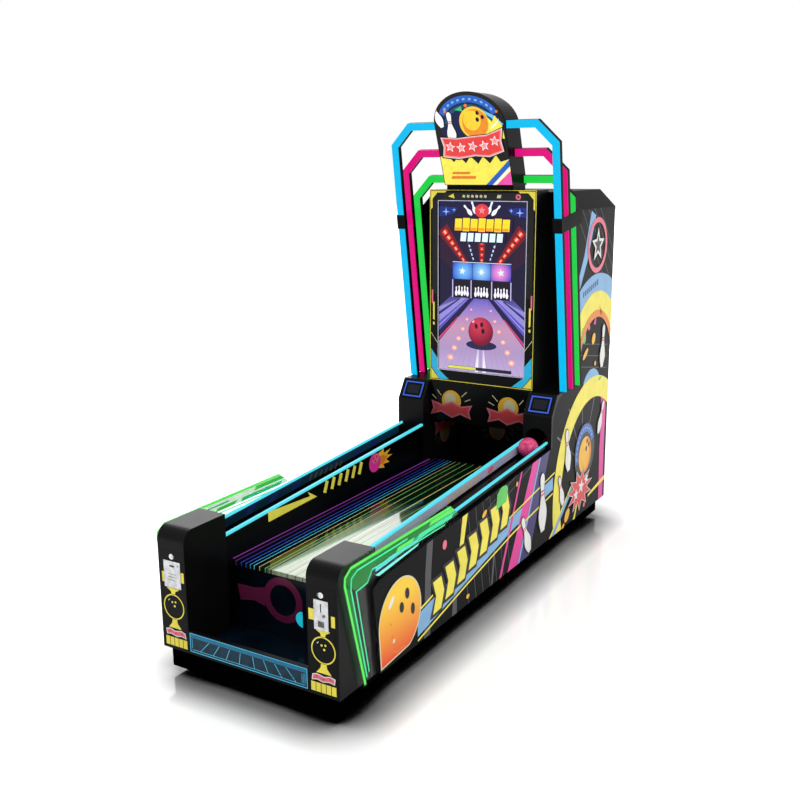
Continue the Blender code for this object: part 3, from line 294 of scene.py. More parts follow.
def casing_laminate():
    """Black high-pressure laminate on board: a satin face with a fine pebble, a little worn."""
    return plain_finish(
        "black_laminate", "#070708", "#0D0D0E", 0.22, (0.28, 0.40), 0.0009, 0.00003,
        **{"Specular IOR Level": 0.08},
    )


def gloss_laminate():
    """Black acrylic-faced board along the lane: deep gloss that mirrors the strips and the lane."""
    return plain_finish(
        "black_gloss_board", "#020203", "#060606", 0.3, (0.16, 0.26), 0.004, 0.00001,
        **{"Specular IOR Level": 0.06},
    )


def gloss_box():
    """Marquee box: black lacquered sheet, glossy enough to mirror the room's edge."""
    return plain_finish(
        "black_lacquer", "#020203", "#060607", 0.2, (0.22, 0.32), 0.003, 0.00001,
        **{"Specular IOR Level": 0.04},
    )


def cabinet_laminate():
    """Rear cabinet: charcoal laminate, duller than the towers' black."""
    return plain_finish(
        "charcoal_laminate", "#060607", "#0B0B0C", 0.25, (0.36, 0.46), 0.0009, 0.00003,
        **{"Specular IOR Level": 0.02},
    )


def powder_coat(name, dark, pale, rough=(0.42, 0.55), shine=0.10):
    """Powder-coated steel: a fine orange peel about a millimetre across over an even colour."""
    return plain_finish(name, dark, pale, 0.12, rough, 0.0012, 0.00004, **{"Specular IOR Level": shine})


def brushed_steel():
    """Brushed stainless steel: long fine scratches across the plate, slightly uneven in tone."""
    finish, tree, shader, place = start_finish("brushed_stainless", {"Metallic": 0.85})
    add_patches(tree, shader, place, "#A9AAAD", "#D3D4D6", 0.02, (0.30, 0.42))
    add_grain(tree, shader, place, 0.0011, 0.00003, (0.05, 1, 1.6))
    return finish


def polished_chrome():
    """Chromed lock faces: nearly a mirror, with faint swirl marks."""
    return plain_finish(
        "polished_chrome", "#BDBEC0", "#E2E3E4", 0.01, (0.08, 0.2), 0.0008, 0.000006,
        **{"Metallic": 1.0},
    )


def zinc_steel():
    """Zinc-plated steel of the forks and feet: dull, mottled grey."""
    return plain_finish(
        "zinc_plated_steel", "#7C7E80", "#9C9EA0", 0.018, (0.35, 0.5), 0.0015, 0.00002,
        **{"Metallic": 0.9},
    )


def tyre_rubber():
    """Moulded grey rubber: matt, with dust in its texture."""
    return plain_finish(
        "moulded_rubber", "#2B2B2C", "#3D3C3A", 0.02, (0.7, 0.85), 0.0014, 0.0001,
        **{"IOR": 1.52, "Specular IOR Level": 0.35},
    )


def moulded_plastic(name, dark, pale, rough=(0.32, 0.42)):
    """Injection-moulded ABS: a spark-eroded grain about half a millimetre across."""
    return plain_finish(name, dark, pale, 0.05, rough, 0.0006, 0.00002, **{"IOR": 1.53})


def ball_polyester():
    """Cast polyester ball: pink with darker swirls under a hard polish."""
    finish, tree, shader, place = start_finish(
        "polished_polyester_ball", {"IOR": 1.55, "Specular IOR Level": 0.3}
    )
    swirl = add_node(
        tree, "ShaderNodeTexNoise", {"Scale": 22.0, "Detail": 5.0, "Distortion": 2.2}, {"Vector": place}
    )
    ramp = add_node(tree, "ShaderNodeValToRGB", links={"Fac": swirl.outputs["Fac"]})
    set_ramp(ramp, [(0.3, tint("#B42858")), (0.5, tint("#D23A74")), (0.7, tint("#E25A8A"))])
    tree.links.new(ramp.outputs["Color"], shader.inputs["Base Color"])
    vary_gloss(tree, shader, swirl.outputs["Fac"], 0.12, 0.22)
    return finish


def side_laminate():
    """Side boards: a dark grey printed face, edged all round with a black plastic moulding."""
    finish, tree, shader, place = start_finish("printed_side_laminate", {"Specular IOR Level": 0.03})
    noise = add_node(tree, "ShaderNodeTexNoise", {"Scale": 3.5, "Detail": 3.0}, {"Vector": place})
    ramp = add_node(tree, "ShaderNodeValToRGB", links={"Fac": noise.outputs["Fac"]})
    set_ramp(ramp, [(0.3, tint("#0B0B0C")), (0.7, tint("#121213"))])
    part = add_node(tree, "ShaderNodeSeparateXYZ", links={"Vector": place})
    out = add_node(tree, "ShaderNodeMath", links={0: part.outputs["X"]}, operation="ABSOLUTE")
    face = add_node(
        tree, "ShaderNodeMath", {1: BOARD_X - 0.0012}, {0: out.outputs[0]}, operation="GREATER_THAN"
    )
    blend = add_node(
        tree, "ShaderNodeMix", {6: tint("#060607")}, {0: face.outputs[0], 7: ramp.outputs["Color"]},
        data_type="RGBA",
    )
    tree.links.new(blend.outputs[2], shader.inputs["Base Color"])
    vary_gloss(tree, shader, noise.outputs["Fac"], 0.30, 0.42)
    add_grain(tree, shader, place, 0.0008, 0.00002)
    return finish


def lane_film():
    """Printed lane: thin bright lines on black under a clear film, with a painted reflection of the room's
    light that makes it paler at the front right.
    """
    finish, tree, shader, place = start_finish(
        "lane_film_painted_reflection", {"Specular IOR Level": 0.55, "Roughness": 0.07}
    )
    part = add_node(tree, "ShaderNodeSeparateXYZ", links={"Vector": place})
    across = add_node(
        tree, "ShaderNodeMapRange", {"From Min": -WALL_X, "From Max": WALL_X, "To Min": 0.0, "To Max": 1.0},
        {"Value": part.outputs["X"]},
    )
    ramp = add_node(tree, "ShaderNodeValToRGB", links={"Fac": across.outputs["Result"]})
    dark, deep = tint("#030306"), tint("#081810")
    lines = [
        (0.0, dark), (0.020, tint("#5A2A78")), (0.030, dark), (0.070, tint("#2A3AA8")), (0.079, dark),
        (0.112, tint("#3A60D0")), (0.121, dark), (0.150, tint("#2F9FD8")), (0.158, dark),
        (0.186, tint("#58C8E0")), (0.194, dark), (0.232, tint("#C8B070")), (0.240, deep),
        (0.285, tint("#6FB860")), (0.292, deep), (0.345, tint("#A8B868")), (0.352, deep),
        (0.420, tint("#58A850")), (0.427, deep), (0.500, tint("#C0B468")), (0.508, deep),
        (0.590, tint("#68B058")), (0.598, deep), (0.690, tint("#B8BC70")), (0.698, deep),
        (0.790, tint("#60A850")), (0.798, deep), (0.890, tint("#B0C088")), (0.900, deep),
    ]
    set_ramp(ramp, lines, smooth=False)
    # Painted reflection: paler copies of the lines, where the room's light would be mirrored in the film.
    pale = add_node(tree, "ShaderNodeValToRGB", links={"Fac": across.outputs["Result"]})
    reflection_ivory, reflection_sage, reflection_lime = tint("#92A482"), tint("#2C5440"), tint("#3E6C34")
    set_ramp(pale, [
        (0.0, reflection_ivory), (0.330, reflection_sage), (0.345, reflection_ivory), (0.400, tint("#9CA67C")), (0.418, reflection_lime),
        (0.427, reflection_ivory), (0.470, reflection_sage), (0.482, reflection_ivory), (0.520, tint("#989E6C")), (0.540, reflection_sage),
        (0.552, reflection_ivory), (0.600, reflection_lime), (0.610, reflection_ivory), (0.665, tint("#889A8E")), (0.680, reflection_sage),
        (0.692, reflection_ivory), (0.740, tint("#788C9A")), (0.770, reflection_sage), (0.782, tint("#7E909E")),
        (0.860, reflection_lime), (0.872, tint("#788C9C")),
    ], smooth=False)
    sway = add_node(tree, "ShaderNodeTexNoise", {"Scale": 3.0, "Detail": 2.0}, {"Vector": place})
    end = add_node(
        tree, "ShaderNodeMapRange",
        {"From Min": FRONT + 1.34, "From Max": FRONT + 0.80, "To Min": 0.0, "To Max": 1.0},
        {"Value": part.outputs["Y"]},
    )
    left = add_node(
        tree, "ShaderNodeMapRange", {"From Min": -0.126, "From Max": -0.104, "To Min": 0.0, "To Max": 1.0},
        {"Value": part.outputs["X"]},
    )
    # Where the painted reflection lies: the front of the lane, right of the middle, softly uneven.
    room = add_node(
        tree, "ShaderNodeMath", links={0: end.outputs[0], 1: left.outputs[0]}, operation="MULTIPLY"
    )
    depth = add_node(
        tree, "ShaderNodeMapRange", {"To Min": 0.70, "To Max": 0.92}, {"Value": sway.outputs["Fac"]}
    )
    reflection_amount = add_node(
        tree, "ShaderNodeMath", links={0: room.outputs[0], 1: depth.outputs[0]}, operation="MULTIPLY"
    )
    blend = add_node(
        tree, "ShaderNodeMix", links={
            0: reflection_amount.outputs[0], 6: ramp.outputs["Color"], 7: pale.outputs["Color"]
        },
        data_type="RGBA",
    )
    tree.links.new(blend.outputs[2], shader.inputs["Base Color"])
    return finish


def recess_gloss():
    """Set-back front under the lane: deep navy gloss with a dark red cloud here and there."""
    finish, tree, shader, place = start_finish("navy_gloss_panel", {"Specular IOR Level": 0.08})
    noise = add_node(tree, "ShaderNodeTexNoise", {"Scale": 3.2, "Detail": 2.0}, {"Vector": place})
    ramp = add_node(tree, "ShaderNodeValToRGB", links={"Fac": noise.outputs["Fac"]})
    set_ramp(
        ramp,
        [(0.3, tint("#020306")), (0.48, tint("#040A12")), (0.62, tint("#061420")), (0.8, tint("#16040A"))]
    )
    tree.links.new(ramp.outputs["Color"], shader.inputs["Base Color"])
    vary_gloss(tree, shader, noise.outputs["Fac"], 0.08, 0.2)
    add_grain(tree, shader, place, 0.01, 0.00002)
    return finish


def lit_cover(name, code, level, pitch=0.0166):
    """Milky acrylic cover lit from behind: an even colour with a faint pulse at each lamp."""
    pale = tuple(min(1.0, c * 1.02) for c in code[:3]) + (1.0,)
    deep = tuple(c * 0.95 for c in code[:3]) + (1.0,)
    finish, tree, shader, place = start_finish(
        name, {"Specular IOR Level": 0.1, "Roughness": 0.4, "Emission Strength": level}
    )
    cells = add_node(
        tree, "ShaderNodeTexNoise", {"Scale": 1 / pitch, "Detail": 1.0, "Roughness": 0.4}, {"Vector": place}
    )
    ramp = add_node(tree, "ShaderNodeValToRGB", links={"Fac": cells.outputs["Fac"]})
    set_ramp(ramp, [(0.3, deep), (0.7, pale)])
    light_up(tree, shader, ramp, 0.06)
    return finish


def clear_acrylic():
    """Clear cast acrylic of the wings: see-through, faintly green in its depth, edges polished."""
    finish, tree, shader, place = start_finish(
        "clear_cast_acrylic",
        {"IOR": 1.49, "Transmission Weight": 1.0, "Specular IOR Level": 0.06, "Alpha": 0.05}
    )
    add_patches(tree, shader, place, "#E6F8EA", "#F4FFF8", 0.3, (0.0, 0.02))
    return finish


def lens_acrylic():
    """Dark blue lens: smoked acrylic with a soft blue light in it."""
    finish, tree, shader, place = start_finish(
        "smoked_blue_acrylic", {"Specular IOR Level": 0.03, "Emission Strength": 0.06}
    )
    shade = add_patches(tree, shader, place, "#080C12", "#101722", 0.06, (0.12, 0.2))
    tree.links.new(shade, shader.inputs["Emission Color"])
    return finish


@cache
def vinyl(ink):
    """Cast vinyl printed in one ink: an even satin colour with a faint unevenness of the print."""
    code = INK[ink]
    return plain_finish(
        f"vinyl_{ink}", darker(code, 0.93), code, 0.09, (0.30, 0.42), 0.0015, 0.00001,
        **{"Specular IOR Level": 0.18},
    )


@cache
def glow_ink(name, code, level=1.0):
    """A colour of a lit picture: light from behind through ink, a little uneven over the panel."""
    finish, tree, shader, place = start_finish(
        f"lit_{name}", {"Specular IOR Level": 0.15, "Roughness": 0.22, "Emission Strength": level}
    )
    noise = add_node(tree, "ShaderNodeTexNoise", {"Scale": 38.0, "Detail": 2.0}, {"Vector": place})
    ramp = add_node(tree, "ShaderNodeValToRGB", links={"Fac": noise.outputs["Fac"]})
    colour = tint(code)
    set_ramp(ramp, [(0.3, tuple(c * 0.86 for c in colour[:3]) + (1.0,)), (0.7, colour)])
    light_up(tree, shader, ramp, 0.3)
    return finish


@cache
def faded_ink(name, low, high, start, end, axis="Z"):
    """Vinyl printed in a blend from one colour to another between two places on the machine."""
    finish, tree, shader, place = start_finish(f"vinyl_{name}", {"Specular IOR Level": 0.18})
    part = add_node(tree, "ShaderNodeSeparateXYZ", links={"Vector": place})
    along = add_node(
        tree, "ShaderNodeMapRange", {"From Min": start, "From Max": end}, {"Value": part.outputs[axis]}
    )
    ramp = add_node(tree, "ShaderNodeValToRGB", links={"Fac": along.outputs["Result"]})
    set_ramp(ramp, [(0.0, tint(low)), (1.0, tint(high))])
    tree.links.new(ramp.outputs["Color"], shader.inputs["Base Color"])
    noise = add_grain(tree, shader, place, 0.0015, 0.00001)
    vary_gloss(tree, shader, noise, 0.26, 0.4)
    return finish


@cache
def halftone_ink():
    """Pink halftone: rows of dots four millimetres apart on navy, drawn as coarse as they show."""
    finish, tree, shader, place = start_finish(
        "vinyl_halftone", {"Specular IOR Level": 0.1, "Roughness": 0.15}
    )
    cells = add_node(
        tree, "ShaderNodeTexVoronoi", {"Scale": 250.0, "Randomness": 0.0}, {"Vector": place},
        voronoi_dimensions="3D",
    )
    ramp = add_node(tree, "ShaderNodeValToRGB", links={"Fac": cells.outputs["Distance"]})
    set_ramp(ramp, [(0.0, tint("#842850")), (0.42, tint("#6C2046")), (0.60, tint("#1C1024"))])
    tree.links.new(ramp.outputs["Color"], shader.inputs["Base Color"])
    return finish


def dress(node, finish):
    """Gives every slot of a CAD node one finish."""
    for slot in NODES[node].material_slots:
        slot.material = finish


# Flat shapes, as outlines of (run, height) points


def spot(run, height, radius, rise=None, turn=0.0, steps=36):
    """A disc, or an ellipse where its rise differs, turned by an angle."""
    rise = radius if rise is None else rise
    points = []
    for k in range(steps):
        a = 2 * pi * k / steps
        x, y = radius * cos(a), rise * sin(a)
        points.append((run + x * cos(turn) - y * sin(turn), height + x * sin(turn) + y * cos(turn)))
    return points


def hoop(run, height, outer, inner, squash=1.0, steps=40):
    """A ring, as its outer and inner outlines."""
    return [
        spot(run, height, outer, outer * squash, steps=steps),
        spot(run, height, inner, inner * squash, steps=steps),
    ]


def bow(run, height, outer, inner, start, end, steps=30):
    """Part of a ring; outer and inner are (across, up) radii, the angles are in degrees."""
    angles = [radians(start + (end - start) * k / steps) for k in range(steps + 1)]
    far = [(run + outer[0] * cos(a), height + outer[1] * sin(a)) for a in angles]
    near = [(run + inner[0] * cos(a), height + inner[1] * sin(a)) for a in reversed(angles)]
    return far + near


def stroke(points, width, last=None):
    """The outline of a line drawn through the points, mitred, with its width at both ends."""
    last = width if last is None else last
    left, right = [], []
    for k, point in enumerate(points):
        here = Vector(point)
        before = Vector(points[max(k - 1, 0)])
        after = Vector(points[min(k + 1, len(points) - 1)])
        into = (here - before).normalized() if k else (after - here).normalized()
        out = (after - here).normalized() if k < len(points) - 1 else into
        side = Vector((-(into.y + out.y), into.x + out.x)).normalized()
        half = (width + (last - width) * k / max(1, len(points) - 1)) / 2
        reach = half / max(0.4, side.dot(Vector((-into.y, into.x))))
        left.append(tuple(here + side * reach))
        right.append(tuple(here - side * reach))
    return left + right[::-1]


def burst(run, height, outer, inner, rays, turn=0.0, squash=1.0):
    """A star with that many rays."""
    points = []
    for k in range(rays * 2):
        a = turn + pi * k / rays
        r = inner if k % 2 else outer
        points.append((run + r * cos(a), height + r * sin(a) * squash))
    return points


def oblong(left, low, right, high, slant=0.0):
    """A box's outline, its top pushed along by slant."""
    return [(left, low), (right, low), (right + slant, high), (left + slant, high)]


PIN_HALF = (
    (0.0, 0.068), (0.03, 0.078), (0.14, 0.128), (0.24, 0.155), (0.31, 0.159), (0.40, 0.140),
    (0.50, 0.100), (0.58, 0.074), (0.66, 0.061), (0.72, 0.062), (0.80, 0.076), (0.88, 0.085),
    (0.94, 0.077), (0.98, 0.050), (1.0, 0.020),
)


def swing_out(points, run, height, turn):
    """Points drawn about the origin, turned and set in their place."""
    return [
        (run + x * cos(turn) - y * sin(turn), height + x * sin(turn) + y * cos(turn)) for x, y in points
    ]


def pin_shape(run, foot, tall, turn=0.0, grow=0.0):
    """A bowling pin's outline, standing on its foot or leaning by an angle."""
    side = [(half * tall + grow, share * tall) for share, half in PIN_HALF]
    side[0] = (side[0][0], -grow)
    side[-1] = (side[-1][0], tall + grow)
    outline = side + [(-x, y) for x, y in reversed(side)]
    return swing_out(outline, run, foot, turn)


def pin_stripes(run, foot, tall, turn=0.0):
    """The two stripes round a pin's neck."""
    stripes = []
    for low, high, half in ((0.62, 0.65, 0.060), (0.68, 0.71, 0.058)):
        band = oblong(-half * tall, low * tall, half * tall, high * tall)
        stripes.append(swing_out(band, run, foot, turn))
    return stripes


# Making pieces


def pick(*things):
    """Selects these objects alone, the first one active."""
    bpy.ops.object.select_all(action="DESELECT")
    for thing in things:
        thing.select_set(True)
    bpy.context.view_layer.objects.active = things[0]


def pick_none():
    """Deselects everything, as a new primitive wants."""
    bpy.ops.object.select_all(action="DESELECT")


def weld(thing):
    """Merges a mesh's doubled points and turns its faces outwards."""
    pick(thing)
    bpy.ops.object.mode_set(mode="EDIT")
    bpy.ops.mesh.select_all(action="SELECT")
    bpy.ops.mesh.remove_doubles(threshold=0.000002)
    bpy.ops.mesh.normals_make_consistent(inside=False)
    bpy.ops.object.mode_set(mode="OBJECT")


def cut_sheet(name, outlines, thickness, place, finish):
    """A flat sheet with these outlines, laid with its back on the place's plane."""
    curve = bpy.data.curves.new(name, "CURVE")
    curve.dimensions = "2D"
    curve.fill_mode = "BOTH"
    curve.extrude = thickness / 2
    for outline in outlines:
        line = curve.splines.new("POLY")
        line.points.add(len(outline) - 1)
        for point, (run, height) in zip(line.points, outline):
            point.co = (run, height, 0, 1)
        line.use_cyclic_u = True
    sheet = bpy.data.objects.new(name, curve)
    bpy.context.collection.objects.link(sheet)
    pick(sheet)
    bpy.ops.object.convert(target="MESH")
    sheet = bpy.context.view_layer.objects.active
    sheet.matrix_world = place @ Matrix.Translation((0, 0, thickness / 2))
    bpy.ops.object.transform_apply(location=True, rotation=True, scale=True)
    weld(sheet)
    sheet.data.materials.clear()
    sheet.data.materials.append(finish)
    return sheet


def trim_tool(node, push):
    """A welded copy of a CAD node, pushed out through the print that it trims."""
    tool = bpy.data.objects.new(f"trim_{node}", NODES[node].data.copy())
    bpy.context.collection.objects.link(tool)
    weld(tool)
    tool.location = push
    bpy.ops.object.transform_apply(location=True, rotation=False, scale=False)
    return tool


def trim(sheet, tool):
    """Keeps the part of a sheet that lies inside the tool."""
    pick(sheet)
    modifier = sheet.modifiers.new("Trim", "BOOLEAN")
    modifier.operation = "INTERSECT"
    modifier.solver = "EXACT"
    modifier.object = tool
    bpy.ops.object.modifier_apply(modifier=modifier.name)


def unite(name, things, body):
    """Joins pieces into one named piece that rides on a body."""
    things = [t for t in things if len(t.data.polygons)]
    if not things:
        raise RuntimeError(f"{name} has nothing in it")
    pick(*things)
    if len(things) > 1:
        bpy.ops.object.join()
    piece = bpy.context.view_layer.objects.active
    piece.name = name
    piece.data.name = name
    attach(piece, body)


def lay_print(name, place, layers, body="machine", tool=None):
    """A print: one sheet of vinyl a colour, stacked, trimmed and joined."""
    settings = bpy.context.scene.bowling_print
    sheets = []
    for number, (finish, outlines) in enumerate(layers):
        height = settings.step * number
        lift = Matrix.Translation((0, 0, GLUE + height))
        sheet = cut_sheet(f"{name}_{number}", outlines, settings.thickness, place @ lift, finish)
        if tool:
            tool.location = place.to_3x3() @ Vector((0, 0, height))
            bpy.context.view_layer.update()
            trim(sheet, tool)
        sheets.append(sheet)
    unite(name, sheets, body)


def lay_trimmed(name, place, layers, node, push):
    """A print that is cut off at the outline of its CAD node."""
    tool = trim_tool(node, push)
    lay_print(name, place, layers, tool=tool)
    bpy.data.objects.remove(tool)


def wall_place(across, facing):
    """A plane along the machine: runs count back from the tower fronts, heights from the floor."""
    return Matrix(((0, 0, facing, across), (1, 0, 0, FRONT), (0, 1, 0, 0), (0, 0, 0, 1)))


def front_place(depth):
    """A plane that faces the player."""
    return Matrix(((1, 0, 0, 0), (0, 0, -1, depth), (0, 1, 0, 0), (0, 0, 0, 1)))


def back_place(depth):
    """A plane that faces the back of the room."""
    return Matrix(((-1, 0, 0, 0), (0, 0, 1, depth), (0, 1, 0, 0), (0, 0, 0, 1)))


def marquee_place():
    """The marquee's leaning face, its heights counted along it."""
    c, s = cos(MARQUEE_LEAN), sin(MARQUEE_LEAN)
    return Matrix(((1, 0, 0, 0), (0, -s, -c, FRONT + MARQUEE_Y), (0, c, -s, MARQUEE_Z), (0, 0, 0, 1)))


def panel_place(node):
    """The plane of a node's largest face: its middle, its across and up axes and half its size."""
    mesh = NODES[node].data
    best = max(mesh.polygons, key=lambda face: face.area * (1 if face.normal.z > 0.2 else 0.2))
    normal = best.normal.copy()
    up = (Vector((0, 0, 1)) - normal * normal.z).normalized()
    across = up.cross(normal)
    level = max(normal.dot(v.co) for v in mesh.vertices)
    flat = [v.co for v in mesh.vertices if abs(normal.dot(v.co) - level) < 0.0002]
    xs = [across.dot(p) for p in flat]
    ys = [up.dot(p) for p in flat]
    middle = across * (min(xs) + max(xs)) / 2 + up * (min(ys) + max(ys)) / 2 + normal * level
    place = Matrix((across, up, normal)).transposed().to_4x4()
    place.translation = middle
    return place, (max(xs) - min(xs)) / 2, (max(ys) - min(ys)) / 2


# The side boards' prints


def chevron(u, v, tall, grow=0.0):
    """A bold arrow-shaped block, grown all round by a border."""
    wide, nose = 0.074, 0.028
    return [
        (u - grow * 1.6, v - grow), (u + wide + grow * 0.4, v - grow + 0.006),
        (u + wide + nose + grow * 1.5, v + tall * 0.52),
        (u + wide + grow * 0.4, v + tall + grow), (u - grow * 1.6, v + tall + grow - 0.006),
        (u + nose - grow * 0.6, v + tall * 0.50),
    ]


